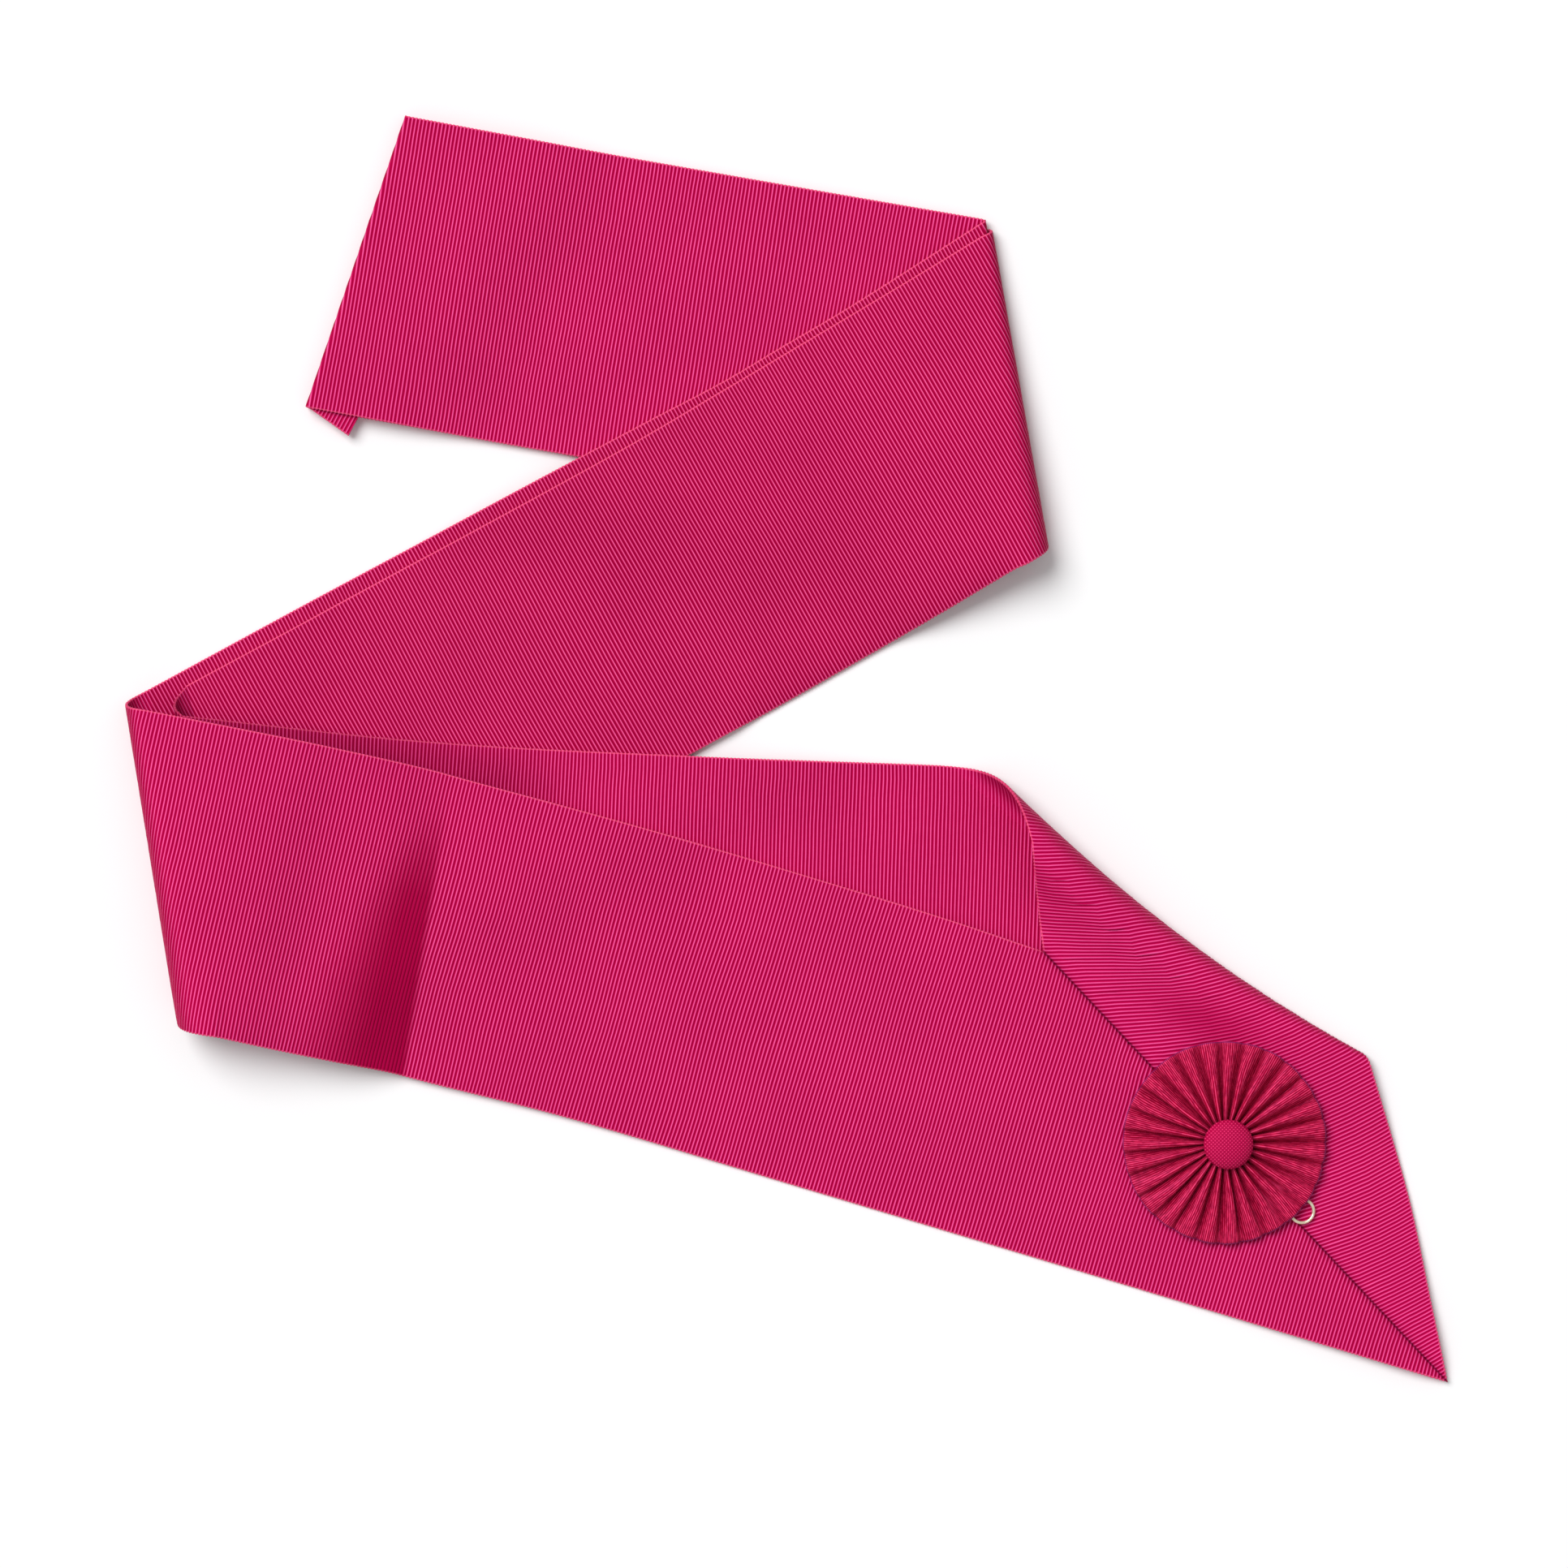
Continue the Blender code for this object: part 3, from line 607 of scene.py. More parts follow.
def ribbonMaterial(name, colours):
    material, tree, shader = newMaterial(name, **silkLook)
    place = node(tree, "UVMap", uv_map="cut")
    split = node(tree, "SeparateXYZ")
    tree.links.new(place.outputs[0], split.inputs[0])
    s, w = split.outputs[0], split.outputs[1]
    phase = maths(tree, "FRACT", maths(tree, "DIVIDE", s, cloth["ribPitch"]))
    base = ramp(tree, phase, [(0.0, colours["groove"]), (0.22, colours["side"]),
                              (0.80, colours["side"]), (1.0, colours["groove"])])
    cloudy = node(tree, "TexNoise", noise_dimensions="2D")
    cloudy.inputs["Scale"].default_value = weaveLook["clouds"]
    cloudy.inputs["Detail"].default_value = 4.0
    tree.links.new(place.outputs[0], cloudy.inputs["Vector"])
    # This noise varies the painted highlight along each thread.
    thread = node(tree, "TexNoise", noise_dimensions="2D")      # threads differ along their length
    thread.inputs["Scale"].default_value = 1.0
    thread.inputs["Detail"].default_value = 2.0
    stretched = node(tree, "CombineXYZ")
    tree.links.new(maths(tree, "MULTIPLY", s, 1 / cloth["ribPitch"]), stretched.inputs[0])
    tree.links.new(maths(tree, "MULTIPLY", w, weaveLook["threads"]), stretched.inputs[1])
    tree.links.new(stretched.outputs[0], thread.inputs["Vector"])
    # Painted highlight: a pink line on each rib, weakened where the gleam attribute is low.
    line = ramp(tree, phase, [(0.36, (0, 0, 0)), (0.50, (1, 1, 1)), (0.60, (1, 1, 1)),
                              (0.74, (0, 0, 0))])
    gleam = node(tree, "Attribute", attribute_name="gleam")
    paintedHighlight = maths(tree, "MULTIPLY_ADD", thread.outputs[0], 0.5, 0.76)
    paintedHighlight = maths(tree, "MULTIPLY", paintedHighlight, gleam.outputs["Fac"])
    paintedHighlight = maths(tree, "MINIMUM", maths(tree, "MULTIPLY", paintedHighlight, line), 1.0)
    base = mixed(tree, paintedHighlight, base, colours["crest"])
    tone = ramp(tree, cloudy.outputs[0], [(0.30, (0.94, 0.90, 0.94)), (0.70, (1.0, 1.0, 1.0))])
    base = mixed(tree, 1.0, base, tone, "MULTIPLY")
    edge = maths(tree, "MINIMUM", w, maths(tree, "SUBTRACT", cloth["width"], w))
    atEdge = maths(tree, "LESS_THAN", edge, weaveLook["selvedge"])
    base = mixed(tree, maths(tree, "MULTIPLY", atEdge, 0.7), base, colours["selvedge"])
    warp = maths(tree, "SINE", maths(tree, "MULTIPLY", w, 2 * math.pi / weaveLook["warpPitch"]))
    dark = node(tree, "Attribute", attribute_name="shade").outputs["Fac"]
    dark = maths(tree, "MULTIPLY", maths(tree, "MULTIPLY_ADD", warp, 0.05, 0.96), dark)
    # Painted shade along the seam, darkest on its line.
    away = node(tree, "Attribute", attribute_name="fromSeam").outputs["Fac"]
    away = maths(tree, "MULTIPLY", maths(tree, "ABSOLUTE", away), 1 / weaveLook["seamReach"])
    seamShade = ramp(tree, away,
                  [(0.0, (0.22, 0.22, 0.22)), (0.07, (0.40, 0.40, 0.40)),
                   (0.15, (0.82, 0.82, 0.82)), (0.6, (1, 1, 1))])
    base = shadedBy(tree, base, maths(tree, "MULTIPLY", dark, seamShade), (1.0, 1.6, 1.2))
    tree.links.new(base, shader.inputs["Base Color"])
    bump = node(tree, "Bump")
    bump.inputs["Strength"].default_value = 0.4
    bump.inputs["Distance"].default_value = 0.00004
    tree.links.new(warp, bump.inputs["Height"])
    tree.links.new(bump.outputs[0], shader.inputs["Normal"])
    return material


silk = ribbonMaterial("ribbedSilk", ribbonColours)
# A darker copy with deeper grooves, as painted shade, for the diagonal bands.
shadedSilk = ribbonMaterial("ribbedSilkShaded", dict(
    ribbonColours, groove=(0.30, 0.0, 0.026), side=(0.49, 0.0, 0.062), crest=(1.0, 0.125, 0.37)))
warmSilk = ribbonMaterial("ribbedSilkWarm", dict(
    ribbonColours, groove=(0.42, 0.0, 0.046), side=(0.61, 0.001, 0.092)))


# Each of these shapes one piece further, and gives its painted shade and how strongly the highlight
# painted on its threads shows.
def intoSeam(points, fromEdge):
    a, b = np.array(seam["line"][0:2]), np.array(seam["line"][2:4])
    along = (b - a) / np.linalg.norm(b - a)
    past = np.abs(acrossSeam(points))
    fromTip = (b - points[:, :2]) @ along
    points[:, 2] -= seam["sharp"] * np.exp(-(past / seam["sharpReach"]) ** 2)
    points[:, 2] -= seam["soft"] * np.exp(-(past / seam["softReach"]) ** 2)
    near = np.exp(-(np.maximum(fromTip, 0) / seam["riseReach"]) ** 2)
    points[:, 2] += seam["rise"] * near * (1 - np.exp(-(past / seam["riseGap"]) ** 2))
    return points, np.ones(len(points)), np.ones(len(points))


# Painted shade and a dulled painted highlight in a soft patch of the turned end above the rosette, as
# if it sagged there; its shape is not changed for it.
sagShade = dict(centre=(0.1400, -0.0905), heading=-23.0, length=0.020, width=0.0066, dull=0.62, dark=0.10)


def besideRosette(points, fromEdge):
    points, shade, gleam = intoSeam(points, fromEdge)
    heading = math.radians(sagShade["heading"])
    along = np.array([math.cos(heading), math.sin(heading)])
    offset = points[:, :2] - sagShade["centre"]
    amount = np.exp(-((offset @ along) / sagShade["length"]) ** 2)
    amount *= np.exp(-((offset @ np.array([-along[1], along[0]])) / sagShade["width"]) ** 2)
    return points, shade * (1 - sagShade["dark"] * amount), gleam * (1 - sagShade["dull"] * amount)


# The front band comes down from the left fold into a hollow, where its threads stop catching
# light: there the highlight painted on its ribs is dulled and a painted shade darkens it.
# The line of its bottom is in millimetres.
hollowShade = dict(top=(-111.3, -8.7), foot=(-127.3, -107.4), width=0.043, core=0.28,
              dull=0.96, dark=0.20)


def intoValley(points, fromEdge):
    points, shade, gleam = intoSeam(points, fromEdge)
    a, b = np.array(hollowShade["top"]) * mm, np.array(hollowShade["foot"]) * mm
    along = (b - a) / np.linalg.norm(b - a)
    left = (points[:, :2] - a) @ np.array([along[1], -along[0]])
    down = 1 - fromEdge / cloth["width"]
    reach = hollowShade["width"] * np.interp(down, (0.08, 0.35, 0.7, 1.0), (0.15, 0.50, 0.85, 1.0))
    fade = 1 - smoothstep((left / reach - hollowShade["core"]) / (1 - hollowShade["core"]))
    amount = fade * smoothstep((left + 0.0006) / 0.0022) * smoothstep((down - 0.06) / 0.40)
    return points, shade * (1 - hollowShade["dark"] * amount), gleam * (1 - hollowShade["dull"] * amount)


# The lower edge of the back diagonal sinks towards the table where no layer lies beneath it.
edgeFall = dict(depth=0.00130, reach=0.0034, start=-0.020, end=0.080, ease=0.012)


def edgeDown(points, fromEdge):
    x = points[:, 0]
    free = smoothstep((x - edgeFall["start"]) / edgeFall["ease"])
    free = free * smoothstep((edgeFall["end"] - x) / edgeFall["ease"])
    points[:, 2] -= edgeFall["depth"] * free * np.exp(-fromEdge / edgeFall["reach"])
    return points, np.ones(len(points)), np.ones(len(points))


# Painted shade: the back hip band is darker beside the raised edge of the front band.
underEdgeShade = dict(dark=0.34, reach=0.013, end=-0.062, ease=0.040)


def underFront(points, fromEdge):
    past = np.maximum(-depthInside(points[:, :2], outlines["frontHip"]), 0)
    amount = np.exp(-(past / underEdgeShade["reach"]) ** 2)
    amount = amount * smoothstep((underEdgeShade["end"] - points[:, 0]) / underEdgeShade["ease"])
    return points, 1 - underEdgeShade["dark"] * amount, np.ones(len(points))


front, back = chainOf("front"), chainOf("back")
ribbonPiece("backShoulderBand", back, "backShoulder", "back_shoulder_band", silk, 11)
ribbonPiece("frontShoulderBand", front, "frontShoulder", "front_shoulder_band", silk, 12)
ribbonPiece("frontDiagonalBand", front, "frontDiagonal", "front_diagonal", shadedSilk, 13)
ribbonPiece("backDiagonalBand", back, "backDiagonal", "back_diagonal", shadedSilk, 14, edgeDown)
ribbonPiece("backHipBand", back, "backHip", "back_hip_band", silk, 15, underFront)
ribbonPiece("backTurnedEnd", back, "backTurned", "back_turned_end", warmSilk, 16, besideRosette)
ribbonPiece("frontHipBand", front, "frontHip", "front_hip_band", silk, 17, intoValley)


hipStrip = dict(step=0.005, points=90)


def seamAllowance():    # a narrow strip along the seam, its ribs square to it
    points, lifts, _ = plan(stretches["hipAllowance"], hipStrip["step"],
                            np.linspace(0, 1, hipStrip["points"]))
    sections = np.concatenate([points, heights("hipAllowance", points, lifts)[..., None]], axis=2)
    sections = sections.transpose(1, 0, 2)
    across = np.linalg.norm(np.diff(sections[0], axis=0), axis=1)
    at = np.concatenate([[0], np.cumsum(across)]) / across.sum()
    steps = np.linalg.norm(np.diff(sections, axis=0), axis=2)
    arc = np.concatenate([np.zeros((1, len(at))), np.cumsum(steps, axis=0)])
    strip = dict(sections=sections, place=arc, ends={"all": (0, len(sections) - 1)}, rolls=[],
                 columns=at, width=float(across.sum()))
    ribbonPiece("hipSeamAllowance", strip, "all", "hip_seam_allowance", silk, 18)


seamAllowance()
bpy.context.view_layer.update()


def treeOver(names):
    bm = bmesh.new()
    for name in names:
        bm.from_mesh(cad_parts[name].data)
    tree = BVHTree.FromBMesh(bm)
    bm.free()
    return tree


ribbonTop = treeOver(("front_hip_band", "back_turned_end"))


def topOf(x, y):        # the highest of five points of the ribbon, in a cross of 1.2 mm
    found = []
    for dx, dy in ((0, 0), (1.2, 0), (-1.2, 0), (0, 1.2), (0, -1.2)):
        hit = ribbonTop.ray_cast(Vector((x + dx * mm, y + dy * mm, 0.1)), Vector((0, 0, -1)))[0]
        if hit:
            found.append(hit.z)
    return max(found)


ringShape = dict(radius=0.0039, wire=0.00053, pin=(0.1696, -0.15226), clear=0.0050,
                 threadRadius=0.00116, threadTurns=4)

# The rosette: cloth gathered into deep pleats at the button, which open out flat towards the rim.
rosetteCut = dict(centre=(0.1451, -0.1306), radius=0.0338, inner=0.0045, pleats=27, ribs=13,
                  rows=25, wall=0.00034, clothPerPleat=0.0084, relief=0.00006)
# By radius in millimetres: height over the ribbon, and the crest's share of a pleat.
rosetteCrest = ((4.5, 1.3), (8, 2.9), (12, 3.4), (20, 3.3), (28, 2.9), (33.8, 2.4))
rosettePanel = ((4.5, 0.19), (9, 0.15), (14, 0.14), (20, 0.16), (28, 0.21), (33.8, 0.27))
# Colours of the pleated silk: darker in the grooves; the crest colour is a painted highlight on each
# rib; a dark line at the rim.
rosetteColours = dict(groove=(0.34, 0.0, 0.018), side=(0.64, 0.0, 0.056), crest=(1.0, 0.12, 0.30),
                      rim=(0.26, 0.02, 0.13))


def rosetteMaterial():
    material, tree, shader = newMaterial("pleatedSilk", 0.36, specular=0.30,
                                         specularTint=(1.0, 0.15, 0.45))
    place = node(tree, "UVMap", uv_map="cut")
    split = node(tree, "SeparateXYZ")
    tree.links.new(place.outputs[0], split.inputs[0])
    phase = maths(tree, "FRACT", split.outputs[0])      # whole numbers lie in the grooves
    groove, side, crest = [rosetteColours[part] for part in ("groove", "side", "crest")]
    base = ramp(tree, phase, [(0.0, groove), (0.34, side), (0.5, crest), (0.66, side), (1.0, groove)])
    # This noise varies the tone, painted highlights included, from thread to thread.
    glitter = node(tree, "TexNoise", noise_dimensions="2D")
    glitter.inputs["Scale"].default_value = 1.0
    glitter.inputs["Detail"].default_value = 3.0
    stretched = node(tree, "CombineXYZ")
    tree.links.new(split.outputs[0], stretched.inputs[0])
    tree.links.new(maths(tree, "MULTIPLY", split.outputs[1], 400.0), stretched.inputs[1])
    tree.links.new(stretched.outputs[0], glitter.inputs["Vector"])
    tone = ramp(tree, glitter.outputs[0], [(0.36, (0.58, 0.30, 0.50)), (0.62, (1.0, 1.0, 1.0))])
    base = mixed(tree, 1.0, base, tone, "MULTIPLY")
    atRim = maths(tree, "GREATER_THAN", split.outputs[1], rosetteCut["radius"] - 0.00035)
    base = mixed(tree, maths(tree, "MULTIPLY", atRim, 0.8), base, rosetteColours["rim"])
    dark = node(tree, "Attribute", attribute_name="shade")
    base = shadedBy(tree, base, dark.outputs["Fac"], (1.0, 2.2, 1.4))
    tree.links.new(base, shader.inputs["Base Color"])
    return material


def rosetteUnder(radius, angle):        # height of the ribbon beneath, from a coarse smoothed wheel
    cx, cy = rosetteCut["centre"]
    spokes, hoops = 72, 16
    coarse = np.array([[topOf(cx + r * math.cos(a), cy + r * math.sin(a))
                        for a in np.arange(spokes) * 2 * math.pi / spokes]
                       for r in np.linspace(rosetteCut["inner"], rosetteCut["radius"], hoops)])
    for _ in range(2):
        coarse = (coarse + np.roll(coarse, 1, 1) + np.roll(coarse, -1, 1)) / 3
    hoop = (radius - rosetteCut["inner"]) / (rosetteCut["radius"] - rosetteCut["inner"]) * (hoops - 1)
    spoke = angle / (2 * math.pi) * spokes
    h0 = np.clip(np.floor(hoop).astype(int), 0, hoops - 2)
    s0 = np.floor(spoke).astype(int)
    h, s = hoop - h0, spoke - s0
    first = coarse[h0, s0 % spokes] * (1 - s) + coarse[h0, (s0 + 1) % spokes] * s
    second = coarse[h0 + 1, s0 % spokes] * (1 - s) + coarse[h0 + 1, (s0 + 1) % spokes] * s
    return first * (1 - h) + second * h


def pleated(step, share, perPleat):         # the gathered cloth: its points and its shade
    pleats, (cx, cy) = rosetteCut["pleats"], rosetteCut["centre"]
    radius = rosetteCut["inner"] + (rosetteCut["radius"] - rosetteCut["inner"]) * share
    pleat = np.floor(step / perPleat)
    t = step / perPleat - pleat - 0.5           # across the cloth of one pleat, its crest at 0
    a = np.abs(t)
    rng = np.random.default_rng(4)
    varied = rng.uniform(-1, 1, (pleats + 1, 3))
    varied[-1] = varied[0]
    which = pleat.astype(int)
    crest, panel = np.array(rosetteCrest), np.array(rosettePanel)
    pitch = 2 * math.pi * radius / pleats
    length = rosetteCut["clothPerPleat"]
    onCrest = np.interp(radius / mm, panel[:, 0], panel[:, 1])
    onCrest = onCrest * (1 + 0.20 * varied[which, 0] * (a < 0.499))
    half = onCrest * pitch / length
    wall = np.clip((a - half) / (0.5 - half), 0, 1)
    x = np.where(a < half, a / half * onCrest, onCrest + (0.5 - onCrest) * wall) * np.sign(t)
    top = np.interp(radius / mm, crest[:, 0], crest[:, 1]) * mm
    deep = ((0.5 - half) * length) ** 2 - ((0.5 - onCrest) * pitch) ** 2      # no cloth is stretched
    depth = np.minimum(np.sqrt(np.maximum(deep, 0.0004 ** 2)), top - 0.7 * mm)
    depth = depth * (1 + 0.10 * varied[which, 1] * (a < 0.499))
    fall = (0.45 * wall + 0.55 * smoothstep(wall)) * depth + 0.00030 * np.minimum(a / half, 1) ** 2
    leaning = 0.10 * np.interp(radius / mm, (4.5, 10, 24, 33.8), (0.4, 1, 1, 0.3))
    leaning = leaning * (1 - smoothstep(wall))
    swing = np.interp(radius / mm, (4.5, 18, 33.8), (0, 1, 0.4))
    swing = swing + 0.5 * np.sin(radius / 0.0045 + 3 * which)
    bend = 0.11 * varied[which, 2] * (1 - smoothstep(a / 0.5)) * swing
    angle = 2 * math.pi * (pleat + 0.5 + x + leaning + bend) / pleats
    threads = rosetteCut["relief"] * np.where(step % 3 == 0, -1.0, 0.6)
    threads = threads * np.interp(radius / mm, (4.5, 10), (0.3, 1))
    z = rosetteUnder(radius, angle) + top - fall + threads
    out = radius[:, None] * np.stack([np.cos(angle), np.sin(angle)], 1) + rosetteCut["centre"]
    past = np.maximum(np.linalg.norm(out - ringShape["pin"], axis=1) - 7.5 * mm, 0)
    least = ringShape["clear"] - 0.25 * past            # the rim rises over the ring and its stitch
    z = z + 0.00025 * np.log1p(np.exp((least - z) / 0.00025))
    scallop = 1 - 0.006 * smoothstep(wall) * share ** 6 + 0.003 * np.sin(7 * angle) * share ** 3
    x, y = cx + radius * scallop * np.cos(angle), cy + radius * scallop * np.sin(angle)
    points = np.stack([x, y, z], 1)
    # Painted shade: darker down each valley, one flank of a pleat darker than the other by where it
    # lies round the rosette, and darker near the button.
    lean = 0.16 * np.sin(math.pi * np.clip(t / 0.5, -1, 1)) * np.sin(angle + 2.5)   # a duller flank
    shade = np.clip(1.0 - 0.37 * np.clip(fall / 0.0017, 0, 1) ** 0.75 + lean * wall, 0.52, 1)
    return points, radius, shade * np.interp(radius / mm, (7, 13), (0.8, 1))


def rosettePiece():
    perPleat = rosetteCut["ribs"] * 3
    around = rosetteCut["pleats"] * perPleat
    bm = bmesh.new()
    bmesh.ops.create_grid(bm, x_segments=around, y_segments=rosetteCut["rows"], size=0.5)
    mesh = bpy.data.meshes.new("rosettePleats")
    bm.to_mesh(mesh)
    bm.free()
    co = np.empty(len(mesh.vertices) * 3)
    mesh.vertices.foreach_get("co", co)
    co = co.reshape(-1, 3)
    step = np.round((co[:, 0] + 0.5) * around)
    points, radius, shade = pleated(step, co[:, 1] + 0.5, perPleat)
    mesh.vertices.foreach_set("co", points.ravel())
    carry(mesh, "shade", shade)
    uv = mesh.uv_layers.new(name="cut")
    corner = np.empty(len(mesh.loops), dtype=np.int32)
    mesh.loops.foreach_get("vertex_index", corner)
    uv.data.foreach_set("uv", np.stack([step / 3, radius], 1)[corner].ravel())
    mesh.update()
    bm = bmesh.new()
    bm.from_mesh(mesh)
    bmesh.ops.remove_doubles(bm, verts=bm.verts, dist=1e-6)
    bm.to_mesh(mesh)
    bm.free()
    mesh.polygons.foreach_set("use_smooth", np.ones(len(mesh.polygons), dtype=bool))
    piece = linkNew("rosettePleats", mesh, rosetteMaterial())
    sheet = piece.modifiers.new("wall", "SOLIDIFY")
    sheet.thickness = rosetteCut["wall"]
    sheet.offset = 0.0
    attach(piece, "sash")
    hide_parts("rosette")
    print(f"rosette: {len(mesh.polygons)} faces")


rosettePiece()


def spun(name, profile, centre, sides, material):
    bm = bmesh.new()
    verts = [bm.verts.new((radius, 0, z)) for radius, z in profile]
    edges = [bm.edges.new(pair) for pair in zip(verts[:-1], verts[1:])]
    bmesh.ops.spin(bm, geom=verts + edges, cent=(0, 0, 0), axis=(0, 0, 1), angle=2 * math.pi,
                   steps=sides, use_merge=True, use_duplicate=False)
    bmesh.ops.remove_doubles(bm, verts=bm.verts, dist=1e-6)
    bmesh.ops.recalc_face_normals(bm, faces=bm.faces)
    bmesh.ops.translate(bm, verts=bm.verts, vec=centre)
    for face in bm.faces:
        face.smooth = True
    mesh = bpy.data.meshes.new(name)
    bm.to_mesh(mesh)
    bm.free()
    return linkNew(name, mesh, material)


buttonShape = dict(centre=(0.1462, -0.1311), radius=0.00825, shank=0.0034, foot=0.0018, rise=0.0042,
                   dome=0.0040, edge=0.0006, turns=14)
buttonWeave = dict(pitch=0.00125,       # two threads
                   low=(0.48, 0.001, 0.062), middle=(0.40, 0.0, 0.045), high=(0.90, 0.040, 0.18))


def buttonMaterial():
    material, tree, shader = newMaterial("buttonSilk", 0.45, specular=0.25,
                                         specularTint=(1.0, 0.2, 0.5))
    where = node(tree, "TexCoord")
    split = node(tree, "SeparateXYZ")
    tree.links.new(where.outputs["Object"], split.inputs[0])
    turns = 2 * math.pi / buttonWeave["pitch"]
    along = maths(tree, "SINE", maths(tree, "MULTIPLY", split.outputs[0], turns))
    across = maths(tree, "SINE", maths(tree, "MULTIPLY", split.outputs[1], turns))
    weave = maths(tree, "MULTIPLY", along, across)
    base = ramp(tree, maths(tree, "MULTIPLY_ADD", weave, 0.5, 0.5),
                [(0.0, buttonWeave["low"]), (0.5, buttonWeave["middle"]), (1.0, buttonWeave["high"])])
    tree.links.new(base, shader.inputs["Base Color"])
    bump = node(tree, "Bump")
    bump.inputs["Strength"].default_value = 0.8
    bump.inputs["Distance"].default_value = 0.00012
    tree.links.new(weave, bump.inputs["Height"])
    tree.links.new(bump.outputs[0], shader.inputs["Normal"])
    return material


def buttonPiece():
    x, y = buttonShape["centre"]
    foot, shank, radius = buttonShape["foot"], buttonShape["shank"], buttonShape["radius"]
    rise, edge, dome = buttonShape["rise"], buttonShape["edge"], buttonShape["dome"]
    turns = buttonShape["turns"]
    base = max(topOf(x + shank * math.cos(a), y + shank * math.sin(a))
               for a in np.arange(8) * math.pi / 4)
    profile = [(0, foot), (shank, foot), (shank, rise), (radius - 1.0 * mm, rise),
               (radius - 0.3 * mm, rise + 0.15 * mm)]
    for k in range(turns):
        angle = math.pi / 2 * k / turns
        profile.append((radius * math.cos(angle) ** 0.9, rise + edge + dome * math.sin(angle)))
    profile.append((0, rise + edge + dome))
    piece = spun("coveredButton", profile, (x, y, base), 72, buttonMaterial())
    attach(piece, "sash")
    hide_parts("rosette_button")
    print("button made")


buttonPiece()


def goldMaterial():
    material, tree, shader = newMaterial("paleGold", 0.22, metallic=0.65, specular=0.5)
    where = node(tree, "TexCoord")
    grain = node(tree, "TexNoise")
    grain.inputs["Scale"].default_value = 900.0
    tree.links.new(where.outputs["Object"], grain.inputs["Vector"])
    base = ramp(tree, grain.outputs[0], [(0.3, (0.88, 0.72, 0.50)), (0.7, (0.98, 0.88, 0.70))])
    tree.links.new(base, shader.inputs["Base Color"])
    rough = maths(tree, "MULTIPLY_ADD", grain.outputs[0], 0.16, 0.12)
    tree.links.new(rough, shader.inputs["Roughness"])
    return material


def threadMaterial():
    material, tree, shader = newMaterial("sewingThread", 0.5, specular=0.2,
                                         specularTint=(1.0, 0.2, 0.5))
    where = node(tree, "TexCoord")
    twist = node(tree, "TexWave", wave_type="BANDS", bands_direction="DIAGONAL")
    twist.inputs["Scale"].default_value = 900.0
    twist.inputs["Distortion"].default_value = 1.5
    tree.links.new(where.outputs["Object"], twist.inputs["Vector"])
    base = ramp(tree, twist.outputs["Fac"], [(0.2, (0.34, 0.0, 0.04)), (0.8, (0.72, 0.01, 0.13))])
    tree.links.new(base, shader.inputs["Base Color"])
    return material


def ringPiece():
    low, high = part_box("badge_ring")
    middle = (Vector(low) + Vector(high)) / 2
    bm = bmesh.new()
    made = bmesh.ops.create_circle(bm, cap_ends=False, radius=ringShape["wire"], segments=16)
    for vert in made["verts"]:
        vert.co = middle + Vector((ringShape["radius"] + vert.co.x, 0, vert.co.y))
    bmesh.ops.spin(bm, geom=bm.verts[:] + bm.edges[:], cent=middle, axis=(0, 0, 1),
                   angle=2 * math.pi, steps=64, use_merge=True, use_duplicate=False)
    bmesh.ops.remove_doubles(bm, verts=bm.verts, dist=1e-6)
    bmesh.ops.recalc_face_normals(bm, faces=bm.faces)
    for face in bm.faces:
        face.smooth = True
    mesh = bpy.data.meshes.new("badgeRing")
    bm.to_mesh(mesh)
    bm.free()
    ring = linkNew("badgeRing", mesh, goldMaterial())
    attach(ring, "ring")
    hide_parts("badge_ring")
    print("ring made")


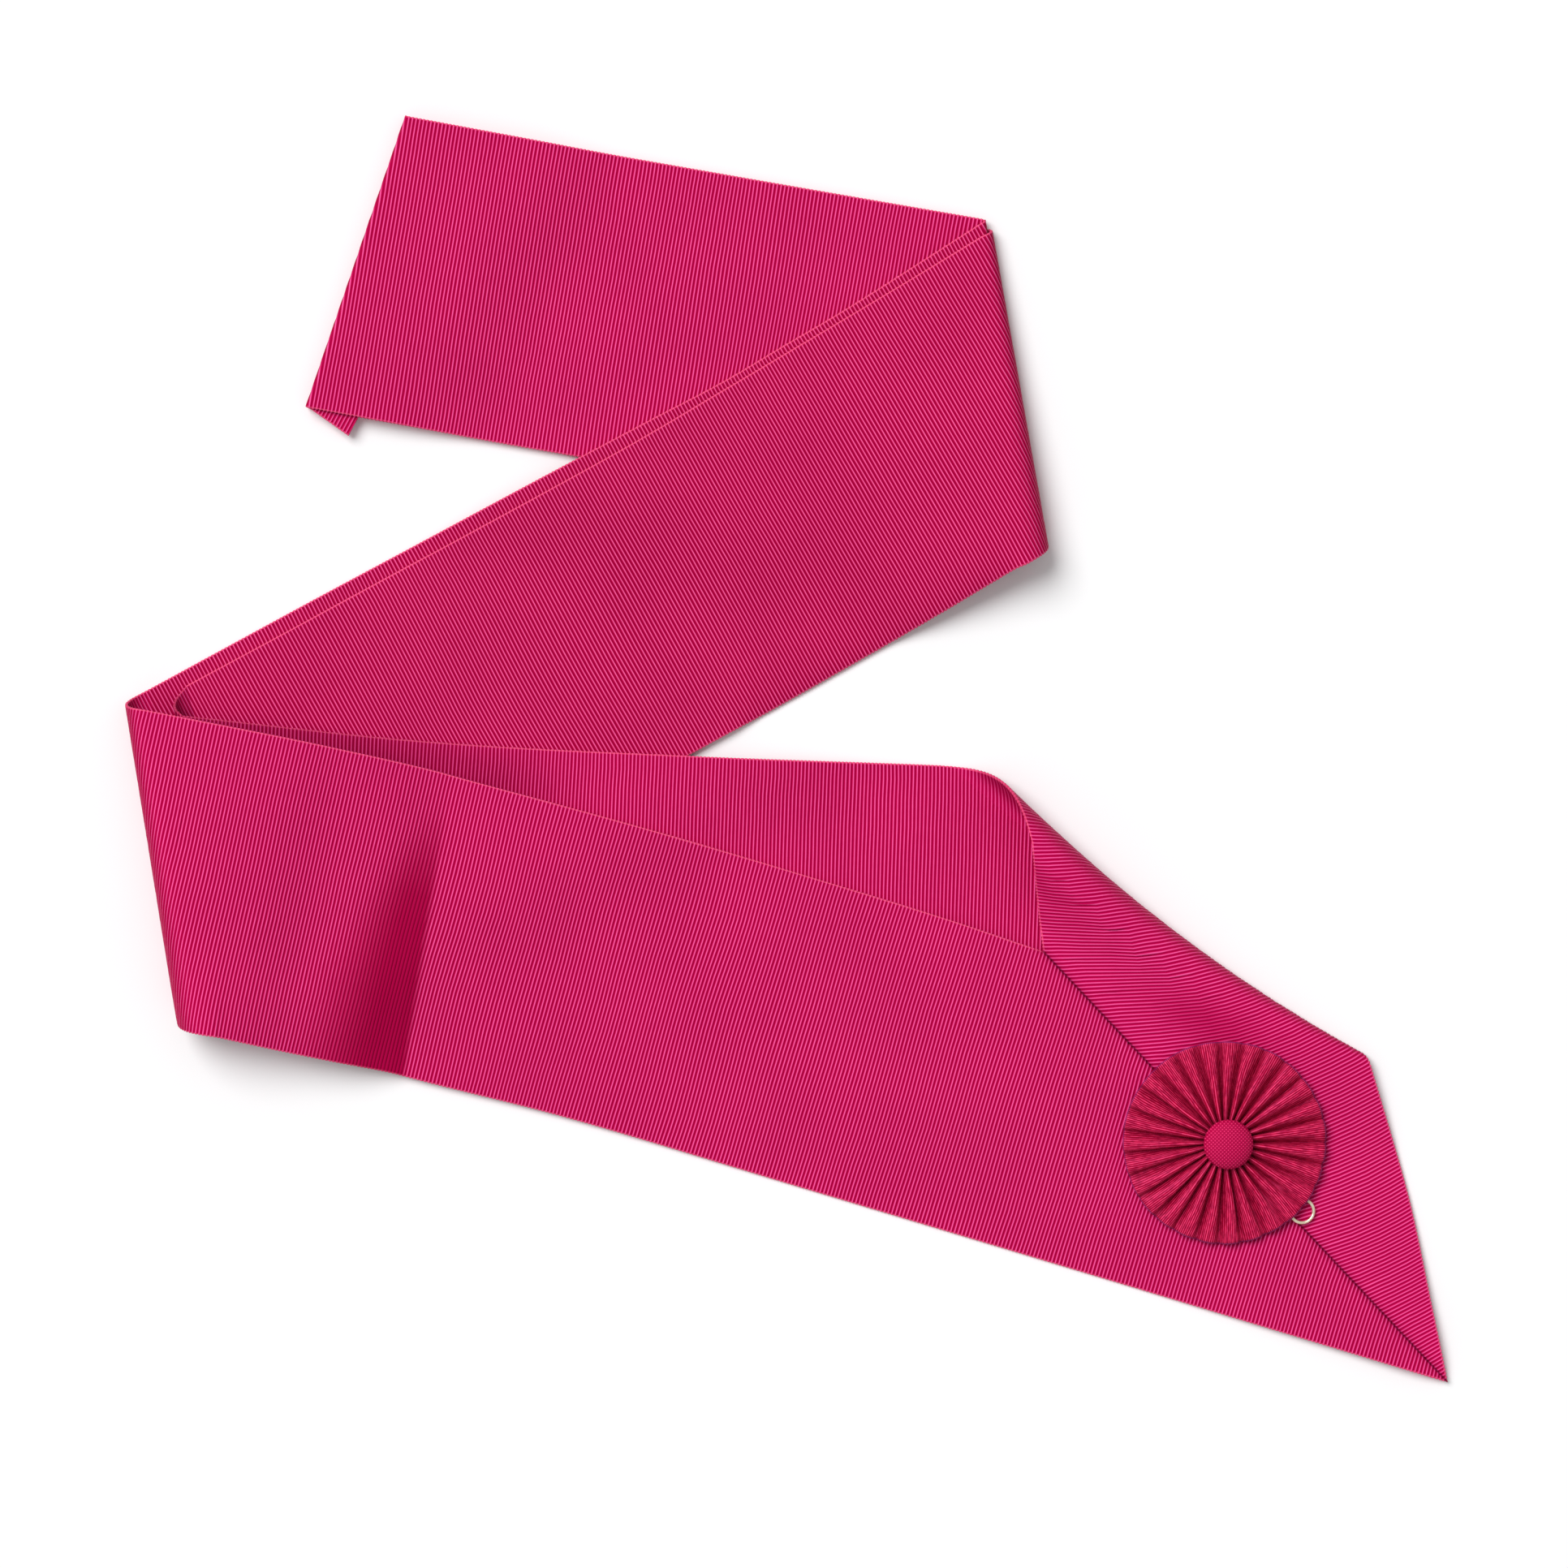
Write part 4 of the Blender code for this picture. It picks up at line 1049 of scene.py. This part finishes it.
def stitchPiece():      # turns of thread that stand out round, inside the solid's height
    low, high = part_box("ring_stitch")
    x, y = ringShape["pin"]
    outer, turns = ringShape["threadRadius"], ringShape["threadTurns"]
    inside = 0.01 * mm
    pitch = (high[2] - low[2] - 2 * inside) / turns
    profile = [(0, low[2] + inside)]
    for turn in range(turns):
        for k in range(7):
            angle = math.pi * k / 6
            profile.append((outer - pitch / 2 + pitch / 2 * math.sin(angle),
                            low[2] + inside + pitch * (turn + 0.5) - pitch / 2 * math.cos(angle)))
    profile.append((0, high[2] - inside))
    stitch = spun("ringThread", profile, (x, y, 0), 32, threadMaterial())
    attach(stitch, "sash")
    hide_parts("ring_stitch")
    print("stitch made")


ringPiece()
stitchPiece()

# Studio: pale floor, a soft key from the upper left, a camera straight above.
studio = dict(floor=(0.95, 0.95, 0.955), floorHeight=-0.0001, world=0.44,
              key=(-8.0, 7.2, 14.0), keySize=13.0, keyPower=2840,
              camera=(-0.001245, -0.011505, 2.0), inView=0.5216, ribbonHeight=0.003)
bm = bmesh.new()
bmesh.ops.create_grid(bm, x_segments=1, y_segments=1, size=4.0)
floorMesh = bpy.data.meshes.new("floor")
bm.to_mesh(floorMesh)
bm.free()
floorLook, _, floorShader = newMaterial("whiteTable", 0.9, specular=0.1)
floorShader.inputs["Base Color"].default_value = (*studio["floor"], 1)
floor = linkNew("floor", floorMesh, floorLook)
floor.location.z = studio["floorHeight"]

world = bpy.data.worlds.new("studio")
world.use_nodes = True
world.node_tree.nodes["Background"].inputs["Color"].default_value = (1.0, 1.0, 1.0, 1)
world.node_tree.nodes["Background"].inputs["Strength"].default_value = studio["world"]
bpy.context.scene.world = world

keyData = bpy.data.lights.new("key", "AREA")
keyData.shape = "DISK"
keyData.size = studio["keySize"]
keyData.energy = studio["keyPower"]
key = bpy.data.objects.new("key", keyData)
key.location = studio["key"]
key.rotation_euler = (-Vector(studio["key"])).to_track_quat("-Z", "Y").to_euler()
bpy.context.scene.collection.objects.link(key)

cameraData = bpy.data.cameras.new("above")
cameraData.lens = 36 * (studio["camera"][2] - studio["ribbonHeight"]) / studio["inView"]
cameraData.clip_start = 0.05
camera = bpy.data.objects.new("above", cameraData)
camera.location = studio["camera"]
bpy.context.scene.collection.objects.link(camera)
bpy.context.scene.camera = camera
bpy.context.scene.view_settings.view_transform = "Standard"
print("studio made")
